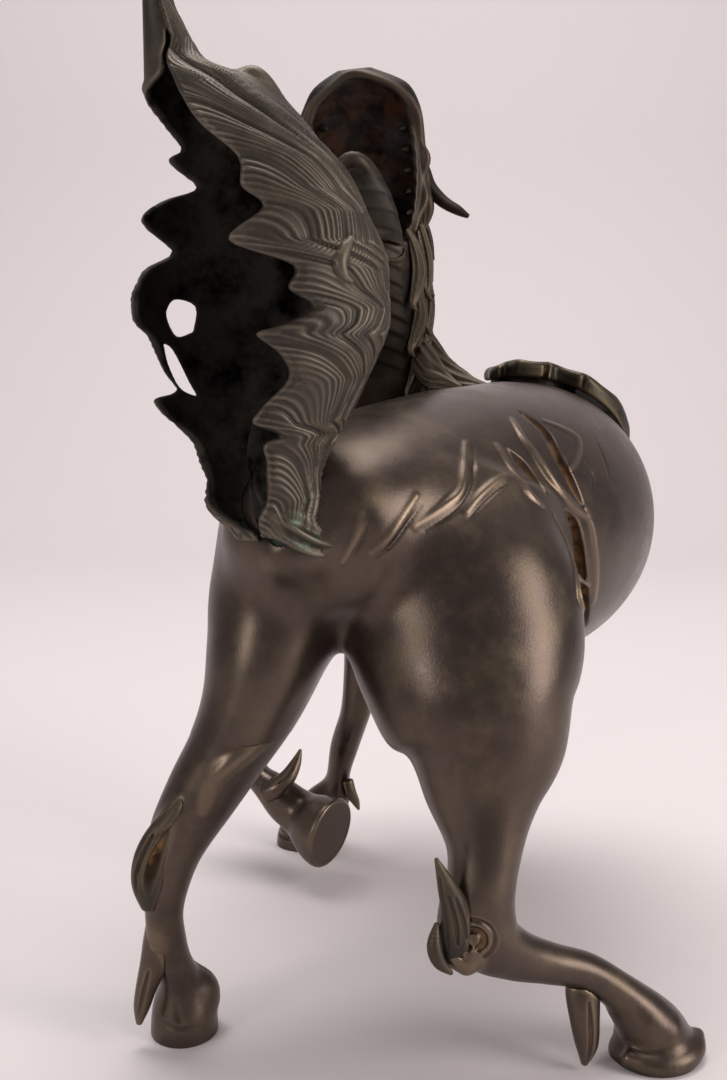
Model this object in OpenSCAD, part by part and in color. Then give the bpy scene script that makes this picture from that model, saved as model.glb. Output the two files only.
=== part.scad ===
/* [Casting] */
// Thickness of the hollow castings: trunk, neck and head
wall = 3.2; // [2.5:0.1:4]
// Thickness of the tail shell
tail_wall = 2.8; // [2.2:0.1:3.6]
// Clearance of a dowel or tenon in its bore
dowel_gap = 0.05; // [0.02:0.01:0.1]

/* [Trunk] */
// Where the chest half meets the rump half, from the middle of the shoulders towards the rump
body_joint_y = -20; // [-24:1:-16]

/* [Legs] */
// Height of the level at which all four legs join the body
leg_joint_z = 150; // [148:1:152]
// Radius of the dowels in the hind legs
hind_dowel_r = 7; // [5:0.5:8]
// Radius of the dowels in the forelegs
fore_dowel_r = 5; // [4:0.5:6]
// Length of each leg dowel, half in the leg and half in the body
leg_dowel_len = 30; // [24:1:34]

/* [Neck] */
// Height of the level at which the neck joins the body
neck_joint_z = 306; // [305.5:0.5:308]
// Outer radius of the ring that centres the neck on the body
collar_r = 22; // [20:0.5:24]
// Height of that ring
collar_h = 18; // [14:1:20]

/* [Tail] */
// Radius of the tenon that holds the tail
tenon_r = 7; // [6:0.5:8]
// Length of the tenon
tenon_len = 44; // [40:1:46]
// Radius of the rivet through tail and tenon
rivet_r = 2; // [1.5:0.5:2.5]

/* [Back cover] */
// Radius of the round opening in the back
opening_r = 26; // [24:1:28]
// Radial gap between the opening and the cover's plug
plug_gap = 1; // [0.8:0.1:1.5]
// Standing height of the cover's underside over the back
cover_lift = 8; // [7:0.1:9]
// Thickness of the cover
cover_wall = 6; // [5:0.1:7]

/* [Hidden] */

// The row's origin is under the middle of the statue's bounding box.
mid = [-7, 27];
bronze = "#3a2f27";
bronze_dark = "#2a211c";
bronze_olive = "#4a4234";
bronze_bright = "#5a4632";

eps = 0.05;
seam_gap = 0.1;
far = 400;

/* Directions and smooth paths */
function unit(v) = v / norm(v);
function flat3(v) = [v.x, v.y, v.z];
function across_of(t, hint) = unit(hint - (hint * t) * t);

// A point on the Catmull-Rom curve through p1 and p2
function spline_point(p0, p1, p2, p3, t) =
    0.5 * (2 * p1 + (p2 - p0) * t + (2 * p0 - 5 * p1 + 4 * p2 - p3) * t * t
    + (3 * p1 - p0 - 3 * p2 + p3) * t * t * t);

// The stations of a path, with steps points for each span
function smooth_path(p, steps) = [
    for (i = [0 : len(p) - 2])
        for (k = [0 : steps - 1])
            spline_point(p[max(i - 1, 0)], p[i], p[i + 1], p[min(i + 2, len(p) - 1)], k / steps),
    p[len(p) - 1]
];

function tangent(p, i) = unit(flat3(p[min(i + 1, len(p) - 1)]) - flat3(p[max(i - 1, 0)]));

// An elliptical ring round one station: [x, y, z, half-size along hint, half-size across it]
function ring(s, t, hint, sides, grow) =
    let (u = across_of(t, hint), v = cross(t, u), a = max(s[3] + grow, 0.3), b = max(s[4] + grow, 0.3))
    [for (k = [0 : sides - 1]) flat3(s) + a * cos(360 * k / sides) * u + b * sin(360 * k / sides) * v];

// A closed solid through a list of rings that all have the same number of points
module skin(rings) {
    n = len(rings[0]);
    m = len(rings);
    polyhedron(
        points = [for (r = rings) for (p = r) p],
        faces = concat(
            [[for (k = [0 : n - 1]) k]],
            [for (i = [0 : m - 2]) for (k = [0 : n - 1])
                let (j = (k + 1) % n)
                each [
                    [i * n + k, (i + 1) * n + k, (i + 1) * n + j],
                    [i * n + k, (i + 1) * n + j, i * n + j]
                ]],
            [[for (k = [n - 1 : -1 : 0]) (m - 1) * n + k]]
        ),
        convexity = 8
    );
}

// A smooth swept form: a limb, a lock, the trunk
span_steps = 2;

module sweep(stations, hint, sides, grow = 0) {
    path = smooth_path(stations, span_steps);
    skin([for (i = [0 : len(path) - 1]) ring(path[i], tangent(path, i), hint, sides, grow)]);
}

// Joins what it holds into one smooth-skinned casting
module casting() {
    resize([0, 0, 0]) children();
}

module placed() {
    translate([-mid.x, -mid.y, 0]) children();
}

module above(z) {
    translate([-far, -far, z]) cube([2 * far, 2 * far, far]);
}

module below(z) {
    translate([-far, -far, z - far]) cube([2 * far, 2 * far, far]);
}

/* Trunk: [x, y, z, half-height, half-width], from the rump to the chest */
trunk_path = [
    [54, 166, 237, 12, 14],
    [50, 150, 240, 33, 38],
    [36, 122, 244, 44, 54],
    [12, 88, 241, 56, 67],
    [-18, 50, 235, 68, 73],
    [-49, 8, 228, 76.5, 77],
    [-67, -32, 227, 76, 76],
    [-59, -68, 228, 73, 68],
    [-26, -88, 230, 67, 57],
    [12, -90, 230, 62, 48],
    [44, -83, 227, 50, 40],
    [64, -77, 224, 30, 26],
    [72, -74, 223, 6, 6]
];

module trunk(grow = 0) {
    sweep(trunk_path, [0, 0, 1], 24, grow);
}

// The trunk is solid at both of its ends.
// Its flat faces lie a little inside its true curve, so the hollow is smaller.
trunk_hollow_path = [for (i = [1 : len(trunk_path) - 2]) trunk_path[i]];
trunk_facet_depth = 0.3;

module trunk_hollow() {
    sweep(trunk_hollow_path, [0, 0, 1], 20, -wall - trunk_facet_depth);
}

/* Neck: [x, y, z, half-depth, half-width], from inside the shoulders to the head */
neck_path = [
    [40, -86, 235, 38, 42],
    [36, -80, 262, 41, 45],
    [31, -68, 290, 38, 43],
    [26, -54, 318, 34, 38],
    [23, -40, 346, 31, 35],
    [22, -28, 372, 27, 32],
    [22, -24, 386, 24, 30]
];
neck_top_z = 380;
collar_x = 28;
collar_y = -61;

module neck_form(grow = 0) {
    sweep(neck_path, [0, 1, 0], 20, grow);
}

/* Legs: [x, y, z, half-depth, half-width], from inside the body to under the hoof */
right_hind_path = [
    [-23, 92, 246, 40, 45],
    [-23, 112, 214, 48, 55],
    [-23, 130, 186, 44, 56.5],
    [-25.5, 144, 166, 37, 49.5],
    [-30, 152, 148, 30, 39],
    [-31, 160, 128, 23, 26.5],
    [-31, 169, 108, 17, 17],
    [-29, 176, 88, 14, 15],
    [-31, 177, 71, 13, 15.5],
    [-44, 172, 60, 10.5, 12],
    [-61, 165, 52, 9, 9.5],
    [-79, 159, 45, 9, 8.5],
    [-94, 155, 36, 10, 9.5],
    [-104, 152, 25, 13.5, 13],
    [-110, 150, 13, 18, 18],
    [-112, 150, 4, 19.5, 20],
    [-112, 150, -4, 19.5, 20]
];
left_hind_path = [
    [54, 96, 240, 34, 32],
    [60, 112, 210, 38, 36],
    [64, 124, 184, 34, 33],
    [72, 130, 162, 29, 30],
    [82, 134, 142, 24, 25],
    [95, 138, 122, 19, 20],
    [106, 142, 104, 15, 14.5],
    [111, 144, 88, 12.5, 11.5],
    [114, 144, 68, 9.5, 9],
    [113, 140, 50, 9, 8.5],
    [109, 135, 36, 10.5, 10],
    [106, 131, 25, 14, 13],
    [106, 129, 14, 17, 15.5],
    [106, 129, 4, 18, 16],
    [106, 129, -4, 18, 16]
];
right_fore_path = [
    [2, -84, 215, 22, 24],
    [10, -82, 180, 22, 22],
    [17, -79, 150, 18, 17],
    [22, -78, 122, 14, 12.5],
    [27, -79, 96, 11.5, 9.5],
    [34, -85, 72, 10, 9],
    [38, -90, 52, 8.5, 7.5],
    [40, -94, 36, 10, 9.5],
    [48, -98, 25, 13, 13.5],
    [56, -101, 14, 15.5, 17.5],
    [59, -102, 4, 16, 19.5],
    [59, -102, -4, 16, 19.5]
];
left_fore_path = [
    [54, -80, 215, 20, 20],
    [63, -79, 180, 20, 20],
    [74, -82, 150, 17, 16.5],
    [88, -88, 122, 13.5, 13],
    [101, -90, 98, 11.5, 11],
    [103, -80, 82, 10.5, 10.5],
    [95, -66, 70, 8.5, 8.5],
    [86, -56, 61, 8.5, 8.5],
    [76, -50, 54, 10, 10],
    [68, -47, 47, 12, 12],
    [59, -43, 40, 15, 18],
    [52, -37, 35, 16, 21.5],
    [47, -32, 31, 15.5, 22]
];
limb_hint = [0, 1, 0];
limb_sides = 14;

module limb(path, grow = 0) {
    sweep(path, limb_hint, limb_sides, grow);
}

module leg_casting(path) {
    casting() intersection() {
        limb(path);
        below(leg_joint_z - seam_gap);
        above(0);
    }
}

/* Dowel places at the level of the leg joints */
right_hind_dowel_at = [-25, 150];
left_hind_dowel_at = [75, 134];
right_fore_dowel_at = [17, -79];
left_fore_dowel_at = [74, -82];

module dowel(at, r) {
    translate([at.x, at.y, leg_joint_z - leg_dowel_len / 2]) cylinder(r = r, h = leg_dowel_len, $fn = 48);
}

module dowel_bore(at, r) {
    translate([at.x, at.y, leg_joint_z - leg_dowel_len / 2])
        cylinder(r = r + dowel_gap, h = leg_dowel_len, $fn = 48);
}

/* Tail: [z, left side x, right side x, middle y, half-depth] */
tail_sections = [
    [246, 74, 44, 165, 8],
    [256, 86, 42, 163, 14],
    [275, 99, 41, 159, 20],
    [300, 112, 27, 154, 28],
    [333, 121, 12, 150, 36],
    [362, 119, 13, 148, 38],
    [394, 115, 28, 147, 34],
    [420, 113, 48, 147, 26],
    [436, 113, 65, 147, 18],
    [439, 113, 86, 147, 13],
    [452, 113, 94, 147, 9],
    [466, 113, 101, 147, 6]
];
// Where the flame edge beside the slit lies, as degrees round the section, by height
tail_near_edge = [
    [246, 10], [256, 4], [263, 12], [276, 16], [285, 12], [289, 22], [294, 4], [300, 8],
    [312, 20], [322, 14], [330, 2], [334, 14], [341, 27], [348, 16], [357, 18], [367, -10],
    [380, 9], [388, 0], [400, 2], [413, -15], [424, -24], [440, -22], [465, -10]
];
// The same for the far edge
tail_far_edge = [
    [246, 236], [258, 244], [273, 236], [283, 232], [293, 250], [302, 262], [305, 234], [314, 240],
    [328, 248], [336, 264], [346, 270], [357, 254], [366, 230], [378, 262], [387, 240], [394, 214],
    [404, 234], [410, 222], [421, 240], [432, 262], [450, 266], [465, 268]
];
tail_rows = 34;
tail_columns = 18;

function tail_section(z) = [
    for (k = [1 : 4]) lookup(z, [for (s = tail_sections) [s[0], s[k]]])
];

// A point of the tail's outer face, moved inwards by depth
function tail_point(z, turn, depth) =
    let (s = tail_section(z), rx = (s[0] - s[1]) / 2 - depth, ry = s[3] - depth)
    [(s[0] + s[1]) / 2 - max(rx, 0.6) * sin(turn), s[2] + max(ry, 0.6) * cos(turn), z];

function tail_turn(z, k) =
    let (a = lookup(z, tail_near_edge), b = lookup(z, tail_far_edge))
    a + (b - a) * k / tail_columns;

module tail_fan() {
    low = tail_sections[0][0];
    high = tail_sections[len(tail_sections) - 1][0];
    skin([
        for (i = [0 : tail_rows])
            let (z = low + (high - low) * i / tail_rows)
            concat(
                [for (k = [0 : tail_columns]) tail_point(z, tail_turn(z, k), 0)],
                [for (k = [tail_columns : -1 : 0]) tail_point(z, tail_turn(z, k), tail_wall)]
            )
    ]);
}

// Solid root under the fan: [x, y, z, half-depth, half-width]
tail_root_path = [
    [50, 146, 250, 12, 14],
    [54, 152, 262, 12, 15],
    [58, 156, 274, 11, 14],
    [62, 158, 286, 8, 10],
    [65, 158, 295, 2, 4]
];
tenon_at = [49, 141, 238];
tenon_turn = [-20, 16, 0];

module tenon(r, len) {
    translate(tenon_at) rotate(tenon_turn) cylinder(r = r, h = len, $fn = 48);
}

// Openings pierced through the far wall between the flames, from inside the fan
piercing_y = 150;
piercing_depth = 60;

module tail_piercings() {
    translate([103, piercing_y, 337]) rotate([90, 0, 0])
        linear_extrude(piercing_depth) polygon([[-5, -6], [-6, 5], [3, 8], [6, 1], [2, -8]]);
    translate([103, piercing_y, 315]) rotate([90, 0, 0])
        linear_extrude(piercing_depth) polygon([[7, 11], [3, 8], [-4, -6], [-7, -12], [0, -8], [5, 2]]);
}

/* Head: [x, y, z, half-depth, half-width], from the neck to the muzzle */
skull_path = [
    [22, -27, 376, 24, 31],
    [22, -29, 392, 26, 34],
    [22, -29, 412, 24, 35.5],
    [23, -27, 432, 20, 35],
    [24, -23, 449, 15, 33],
    [26, -20, 462, 9, 25],
    [27, -18, 470.5, 2, 9]
];
palate_path = [
    [22, -6, 380, 14, 24],
    [22, -7, 396, 19, 29],
    [22, -8, 416, 19, 31],
    [23, -9, 434, 17, 30],
    [24, -9, 450, 14, 27],
    [26, -9, 461, 8, 18],
    [27, -9, 467, 2, 5]
];
jaw_path = [
    [23, -10, 368, 7, 24],
    [24, -3, 380, 8, 23],
    [25, 5, 394, 8, 20],
    [27, 11, 408, 7, 15],
    [28, 14, 418, 4, 9],
    [29, 15, 423, 1, 3]
];
jaw_trough_path = [
    [24, -9, 379, 7, 18],
    [25, -2, 393, 7, 16],
    [27, 5, 407, 6, 11],
    [28, 9, 418, 5, 7],
    [28, 11, 428, 5, 6]
];
tongue_path = [
    [23, -14, 386, 3, 9],
    [24, -7, 397, 3, 9],
    [26, -1, 409, 2.6, 8],
    [27, 3, 419, 1.6, 5],
    [27, 4, 424, 0.5, 1.5]
];
head_hint = [0, 1, 0];
// The neck's hollow, lowered by this much, opens the back of the skull
throat_drop = 18;

module head_form(grow) {
    sweep(skull_path, head_hint, 20, grow);
}

// The head is symmetrical about this plane
head_mid_x = 22;

module mirrored_over_head() {
    translate([2 * head_mid_x, 0, 0]) mirror([1, 0, 0]) children();
}

horn_path = [
    [-5, -33, 424, 5, 4],
    [-10, -30, 412, 4.6, 4],
    [-15, -27, 404, 4, 3.4],
    [-22, -24, 399, 3.2, 2.8],
    [-30, -22, 395, 2.4, 2.2],
    [-33, -21, 393.5, 1, 1]
];
ear_path = [
    [-6, -41, 398, 5, 4],
    [-11, -45, 391, 6, 3],
    [-15, -49, 382, 5, 2.4],
    [-18, -52, 372, 1.5, 1]
];
eye_r = 5;
eye_at = [-2, -48, 417];

// Rows of teeth along both sides of the palate, then along the jaw
tooth_len = 7;
tooth_r = 2;
upper_tooth_pairs = 5;
upper_tooth_pitch = 11;

module tooth(at, turn) {
    translate(at) rotate(turn) cylinder(r1 = tooth_r, r2 = 0.5, h = tooth_len, $fn = 8);
}

/* Mane: each lock runs down the neck and flicks out at its tip */
lock_count = 7;
lock_top_z = 384;
lock_pitch = 13;
lock_fall = 34;
// Every second lock starts this many degrees further round the neck
lock_lean = 24;
right_turn = 78;
back_turn = 168;
left_turn = 282;

// Clearance between the mane and the ears
hair_gap = 0.3;

// The neck station at height z; a turn of 90 is on the right of the neck and 180 behind it
function neck_at(z) = [for (k = [0 : 4]) lookup(z, [for (s = neck_path) [s[2], s[k]]])];

function lock_station(z, turn, out, thick, wide) =
    let (s = neck_at(z))
    [s[0] - (s[4] + out) * sin(turn), s[1] + (s[3] + out) * cos(turn), z, thick, wide];

function lock_path(z, turn) = [
    lock_station(z + 6, turn, -3, 3, 3),
    lock_station(z - 4, turn, 1, 4.5, 5),
    lock_station(z - 15, turn + 3, 2.5, 5, 6),
    lock_station(z - 26, turn, 3.5, 4, 4.5),
    lock_station(z - lock_fall, turn - 4, 6, 1, 1)
];

module locks(turn, lean, grow = 0) {
    difference() {
        union() {
            for (i = [0 : lock_count - 1]) {
                z = lock_top_z - lock_pitch * i;
                sweep(lock_path(z, turn + lean * (i % 2)), [sin(turn) + 0.1, 1, 0.2], 6, grow);
            }
        }
        neck_form(seam_gap);
        head_form(seam_gap);
        trunk(seam_gap);
    }
}

/* Hock flames and heel spurs: [x, y, z, half-depth, half-width] */
right_flame_path = [
    [-15, 189, 62, 3, 4],
    [-13, 190, 76, 5, 7],
    [-12, 190, 90, 4, 6.5],
    [-10, 190, 102, 3, 4],
    [-8, 190, 110, 0.8, 1]
];
left_flame_path = [
    [122, 152, 70, 3, 3.5],
    [122, 153, 84, 5, 7],
    [120, 154, 98, 5, 7.5],
    [114, 153, 111, 4, 5.5],
    [107, 151, 123, 1, 1.5]
];
right_hind_spur_path = [
    [-79, 168, 44, 5, 5.5],
    [-80, 171, 34, 4.5, 5.5],
    [-81, 172, 22, 4, 5],
    [-84, 172, 10, 3, 3.6],
    [-82, 171, 2, 0.8, 1]
];
left_hind_spur_path = [
    [116, 147, 52, 4.5, 5],
    [120, 148, 42, 4.5, 5],
    [123, 147, 31, 4, 4.4],
    [126, 146, 20, 2.6, 3],
    [127, 145, 10, 0.8, 1]
];
right_fore_spur_path = [
    [32, -82, 50, 3.5, 3.5],
    [30, -82, 42, 3.5, 3.5],
    [27, -84, 35, 2.6, 2.6],
    [25, -86, 29, 0.8, 0.8]
];
left_fore_spur_path = [
    [79, -41, 58, 4, 4.5],
    [72, -40, 63, 4.5, 5],
    [65, -42, 70, 3.6, 4],
    [61, -46, 78, 0.8, 1]
];

module applied(path, leg_path) {
    difference() {
        sweep(path, [1, 0.3, 0], 10);
        limb(leg_path, seam_gap);
    }
}

/* Back cover */
cover_at = [-84, -60];
cover_outline = [
    [-51, 4], [-40, 20], [-22, 30], [-4, 25], [2, 34], [18, 36], [28, 24], [33, 26],
    [45, 18], [42, 4], [45, -8], [36, -22], [20, -31], [0, -34], [-20, -33], [-40, -22]
];
opening_at = [-78, -62];
plug_low_z = 286;

cover_low_z = 262;

module cover_blank() {
    translate([cover_at.x, cover_at.y, cover_low_z]) linear_extrude(far) polygon(cover_outline);
}

// A haunch is the part of a limb above the leg joint that stands out of the trunk
module haunch(path) {
    difference() {
        intersection() {
            limb(path);
            above(leg_joint_z);
        }
        trunk(seam_gap);
    }
}

// A thigh is hollow above the solid stub that takes its dowel, with a thicker wall than the trunk's
thigh_extra_wall = 2;

module thigh_hollow(path) {
    intersection() {
        limb(path, -wall - thigh_extra_wall);
        above(leg_joint_z + leg_dowel_len / 2 + wall);
    }
}

module shoulder(path, dowel_at) {
    difference() {
        casting() haunch(path);
        dowel_bore(dowel_at, fore_dowel_r);
    }
}

/* Sub-parts */
module body_form() {
    difference() {
        union() {
            trunk();
            intersection() {
                neck_form();
                below(neck_joint_z);
            }
        }
        difference() {
            trunk_hollow();
            tenon(tenon_r + wall, tenon_len);
            translate([collar_x, collar_y, neck_joint_z - collar_h]) cylinder(r = collar_r + wall, h = far);
        }
    }
}

// The chest half carries the opening and the neck
module body_front() {
    color(bronze) placed() difference() {
        casting() intersection() {
            body_form();
            translate([-far, body_joint_y - seam_gap - far, 0]) cube([2 * far, far, far]);
        }
        translate([opening_at.x, opening_at.y, plug_low_z - cover_lift])
            cylinder(r = opening_r, h = far, $fn = 64);
        translate([collar_x, collar_y, neck_joint_z - 2 * collar_h])
            cylinder(r = collar_r + dowel_gap, h = far, $fn = 64);
    }
}

// The rump half carries the tenon of the tail
module body_rear() {
    color(bronze) placed() difference() {
        casting() intersection() {
            body_form();
            translate([-far, body_joint_y, 0]) cube([2 * far, far, far]);
        }
        tenon(tenon_r + dowel_gap, tenon_len);
    }
}

module right_thigh() {
    color(bronze) placed() difference() {
        casting() difference() {
            haunch(right_hind_path);
            thigh_hollow(right_hind_path);
        }
        dowel_bore(right_hind_dowel_at, hind_dowel_r);
    }
}

// The left thigh stops where it meets the right one
module left_thigh() {
    color(bronze) placed() difference() {
        casting() difference() {
            haunch(left_hind_path);
            thigh_hollow(left_hind_path);
            limb(right_hind_path, seam_gap);
        }
        dowel_bore(left_hind_dowel_at, hind_dowel_r);
    }
}

module right_shoulder() {
    color(bronze) placed() shoulder(right_fore_path, right_fore_dowel_at);
}

module left_shoulder() {
    color(bronze) placed() shoulder(left_fore_path, left_fore_dowel_at);
}

module back_cover() {
    color(bronze_olive) placed() casting() difference() {
        intersection() {
            trunk(cover_lift + cover_wall);
            cover_blank();
        }
        trunk(cover_lift);
    }
}

module cover_plug() {
    color(bronze_dark) placed() casting() intersection() {
        translate([opening_at.x, opening_at.y, plug_low_z]) difference() {
            cylinder(r = opening_r - plug_gap, h = far, $fn = 36);
            translate([0, 0, -eps]) cylinder(r = opening_r - plug_gap - wall, h = far + 1, $fn = 36);
        }
        trunk(cover_lift - eps);
    }
}

module neck() {
    color(bronze) placed() difference() {
        casting() difference() {
            intersection() {
                neck_form();
                above(neck_joint_z + seam_gap);
                below(neck_top_z);
            }
            intersection() {
                neck_form(-wall);
                above(neck_joint_z + collar_h);
            }
            head_form(seam_gap);
            translate([0, 0, -seam_gap]) head_form(seam_gap);
        }
        translate([collar_x, collar_y, neck_joint_z - eps])
            cylinder(r = collar_r + dowel_gap, h = collar_h + wall, $fn = 64);
    }
}

module neck_collar() {
    color(bronze_dark) placed() translate([collar_x, collar_y, neck_joint_z - collar_h / 2]) difference() {
        cylinder(r = collar_r, h = collar_h, $fn = 64);
        translate([0, 0, -1]) cylinder(r = collar_r - wall, h = collar_h + 2, $fn = 64);
    }
}

// The lock at the foot of the mane lies out over the back
foot_lock_path = [
    [-8, -50, 338, 4, 5],
    [-14, -43, 323, 6, 7],
    [-23, -36, 311, 5, 7],
    [-35, -26, 304, 3.5, 6],
    [-48, -17, 302, 1.5, 2]
];

module mane_right() {
    color(bronze) placed() casting() {
        locks(right_turn, lock_lean);
        difference() {
            sweep(foot_lock_path, [1, 0, 1], 8);
            trunk(seam_gap);
            neck_form(seam_gap);
        }
    }
}

module mane_left() {
    color(bronze) placed() casting() locks(left_turn, -lock_lean);
}

module mane_crest() {
    color(bronze) placed() casting() locks(back_turn, lock_lean);
}

module skull() {
    color(bronze_dark) placed() difference() {
        casting() difference() {
            head_form(0);
            sweep(palate_path, head_hint, 18);
            translate([0, 0, -throat_drop]) neck_form(-wall);
        }
        translate(eye_at) sphere(r = eye_r + dowel_gap, $fn = 32);
        mirrored_over_head() translate(eye_at) sphere(r = eye_r + dowel_gap, $fn = 32);
    }
}

module lower_jaw() {
    color(bronze) placed() casting() difference() {
        sweep(jaw_path, head_hint, 18);
        sweep(jaw_trough_path, head_hint, 14);
        head_form(seam_gap);
        neck_form(seam_gap);
    }
}

module tongue() {
    color(bronze_dark) placed() casting() difference() {
        sweep(tongue_path, head_hint, 12);
        sweep(jaw_path, head_hint, 18, seam_gap);
        head_form(seam_gap);
    }
}

module upper_teeth() {
    color(bronze_bright) placed() casting() difference() {
        for (i = [0 : upper_tooth_pairs - 1])
            for (side = [-1, 1])
                tooth([head_mid_x + side * (25 - i), -20, 396 + upper_tooth_pitch * i], [-90, 0, side * 30]);
        difference() {
            head_form(seam_gap);
            sweep(palate_path, head_hint, 18, -seam_gap);
        }
    }
}

module lower_teeth() {
    color(bronze_bright) placed() casting() difference() {
        for (side = [-1, 1]) {
            tooth([25 + side * 17, 4, 393], [60, 0, 0]);
            tooth([26 + side * 13, 10, 405], [60, 0, 0]);
        }
        difference() {
            sweep(jaw_path, head_hint, 18, seam_gap);
            sweep(jaw_trough_path, head_hint, 14, -seam_gap);
        }
    }
}

module right_eye() {
    color(bronze_bright) placed() translate(eye_at) sphere(r = eye_r, $fn = 32);
}

module left_eye() {
    color(bronze_bright) placed() mirrored_over_head() translate(eye_at) sphere(r = eye_r, $fn = 32);
}

module ear_form() {
    sweep(ear_path, [0, 1, 0.3], 10);
}

module clear_of_mane() {
    difference() {
        children();
        head_form(seam_gap);
        neck_form(seam_gap);
        locks(right_turn, lock_lean, hair_gap);
        locks(back_turn, lock_lean, hair_gap);
        locks(left_turn, -lock_lean, hair_gap);
    }
}

module right_ear() {
    color(bronze) placed() casting() clear_of_mane() ear_form();
}

module left_ear() {
    color(bronze) placed() casting() clear_of_mane() mirrored_over_head() ear_form();
}

module clear_of_head() {
    difference() {
        children();
        head_form(seam_gap);
    }
}

module horn_form() {
    sweep(horn_path, [0, 1, 0], 10);
}

module right_horn() {
    color(bronze_dark) placed() casting() clear_of_head() horn_form();
}

module left_horn() {
    color(bronze_dark) placed() casting() clear_of_head() mirrored_over_head() horn_form();
}

module tail_shell() {
    color(bronze_olive) placed() difference() {
        casting() difference() {
            union() {
                tail_fan();
                sweep(tail_root_path, [0, 1, 0], 16);
            }
            tail_piercings();
            trunk(seam_gap);
        }
        tenon(tenon_r + dowel_gap, tenon_len);
        rivet_bore();
    }
}

// The rivet runs towards the chest from its head
rivet_head_at = [59, 168, 272];
rivet_len = 14;

module rivet_bore() {
    translate(rivet_head_at) rotate([90, 0, 0])
        cylinder(r = rivet_r + dowel_gap, h = far, center = true, $fn = 32);
}

module tail_tenon() {
    color(bronze_dark) placed() difference() {
        tenon(tenon_r, tenon_len);
        rivet_bore();
    }
}

module tail_rivet() {
    color(bronze_bright) placed() translate(rivet_head_at) rotate([90, 0, 0])
        cylinder(r = rivet_r, h = rivet_len, $fn = 32);
}

module right_hind_leg() {
    color(bronze) placed() difference() {
        leg_casting(right_hind_path);
        dowel_bore(right_hind_dowel_at, hind_dowel_r);
    }
}

module left_hind_leg() {
    color(bronze) placed() difference() {
        leg_casting(left_hind_path);
        dowel_bore(left_hind_dowel_at, hind_dowel_r);
    }
}

module right_foreleg() {
    color(bronze) placed() difference() {
        leg_casting(right_fore_path);
        dowel_bore(right_fore_dowel_at, fore_dowel_r);
    }
}

module left_foreleg() {
    color(bronze) placed() difference() {
        leg_casting(left_fore_path);
        dowel_bore(left_fore_dowel_at, fore_dowel_r);
    }
}

module right_hind_dowel() {
    color(bronze_bright) placed() dowel(right_hind_dowel_at, hind_dowel_r);
}

module left_hind_dowel() {
    color(bronze_bright) placed() dowel(left_hind_dowel_at, hind_dowel_r);
}

module right_fore_dowel() {
    color(bronze_bright) placed() dowel(right_fore_dowel_at, fore_dowel_r);
}

module left_fore_dowel() {
    color(bronze_bright) placed() dowel(left_fore_dowel_at, fore_dowel_r);
}

module right_hock_flame() {
    color(bronze_olive) placed() casting() applied(right_flame_path, right_hind_path);
}

module left_hock_flame() {
    color(bronze_olive) placed() casting() applied(left_flame_path, left_hind_path);
}

module right_hind_spur() {
    color(bronze) placed() casting() applied(right_hind_spur_path, right_hind_path);
}

module left_hind_spur() {
    color(bronze) placed() casting() applied(left_hind_spur_path, left_hind_path);
}

module right_fore_spur() {
    color(bronze) placed() casting() applied(right_fore_spur_path, right_fore_path);
}

module left_fore_spur() {
    color(bronze) placed() casting() applied(left_fore_spur_path, left_fore_path);
}

body_front();
body_rear();
back_cover();
cover_plug();
right_thigh();
left_thigh();
right_shoulder();
left_shoulder();
neck();
neck_collar();
mane_right();
mane_left();
mane_crest();
skull();
lower_jaw();
tongue();
upper_teeth();
lower_teeth();
right_eye();
left_eye();
right_ear();
left_ear();
right_horn();
left_horn();
tail_shell();
tail_tenon();
tail_rivet();
right_hind_leg();
left_hind_leg();
right_foreleg();
left_foreleg();
right_hind_dowel();
left_hind_dowel();
right_fore_dowel();
left_fore_dowel();
right_hock_flame();
left_hock_flame();
right_hind_spur();
left_hind_spur();
right_fore_spur();
left_fore_spur();
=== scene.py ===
"""The hoofed guardian beast in patinated bronze: its castings, materials, studio and camera."""

import math

import bmesh
import bpy
import numpy as np
import openvdb as vdb
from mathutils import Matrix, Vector


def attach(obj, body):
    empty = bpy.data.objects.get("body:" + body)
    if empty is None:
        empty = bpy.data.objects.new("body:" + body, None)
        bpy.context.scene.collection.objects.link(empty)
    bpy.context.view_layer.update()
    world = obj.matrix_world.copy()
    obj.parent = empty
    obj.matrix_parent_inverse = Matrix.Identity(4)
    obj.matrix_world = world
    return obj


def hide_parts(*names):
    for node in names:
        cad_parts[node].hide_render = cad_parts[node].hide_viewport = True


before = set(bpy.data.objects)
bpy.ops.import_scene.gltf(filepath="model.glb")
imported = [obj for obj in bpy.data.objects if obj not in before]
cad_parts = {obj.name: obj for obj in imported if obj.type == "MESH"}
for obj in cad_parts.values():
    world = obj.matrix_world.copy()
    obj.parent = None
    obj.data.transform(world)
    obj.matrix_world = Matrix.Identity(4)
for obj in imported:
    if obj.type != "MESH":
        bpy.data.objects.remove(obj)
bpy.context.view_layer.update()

# Castings are shaped in millimetres about the same origin as the part's own stations.
# MID is the middle of the statue's box, and MM carries a length into the row's metres.
MID = np.array([-7.0, 27.0, 0.0])
MM = 0.001
UP = (0, 0, 1)
ACROSS = (0, 1, 0)
COARSE = 1.0
BAND = 15.0

WALL = 3.2
LEG_JOINT_Z = 150.0
NECK_JOINT_Z = 306.0
NECK_TOP_Z = 380.0
COLLAR_AT = (28.0, -61.0)
COLLAR_R = 22.05
OPENING_AT = (-78.0, -62.0)
OPENING_R = 26.0
OPENING_LOW_Z = 278.0
HEAD_MID_X = 22.0

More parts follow.
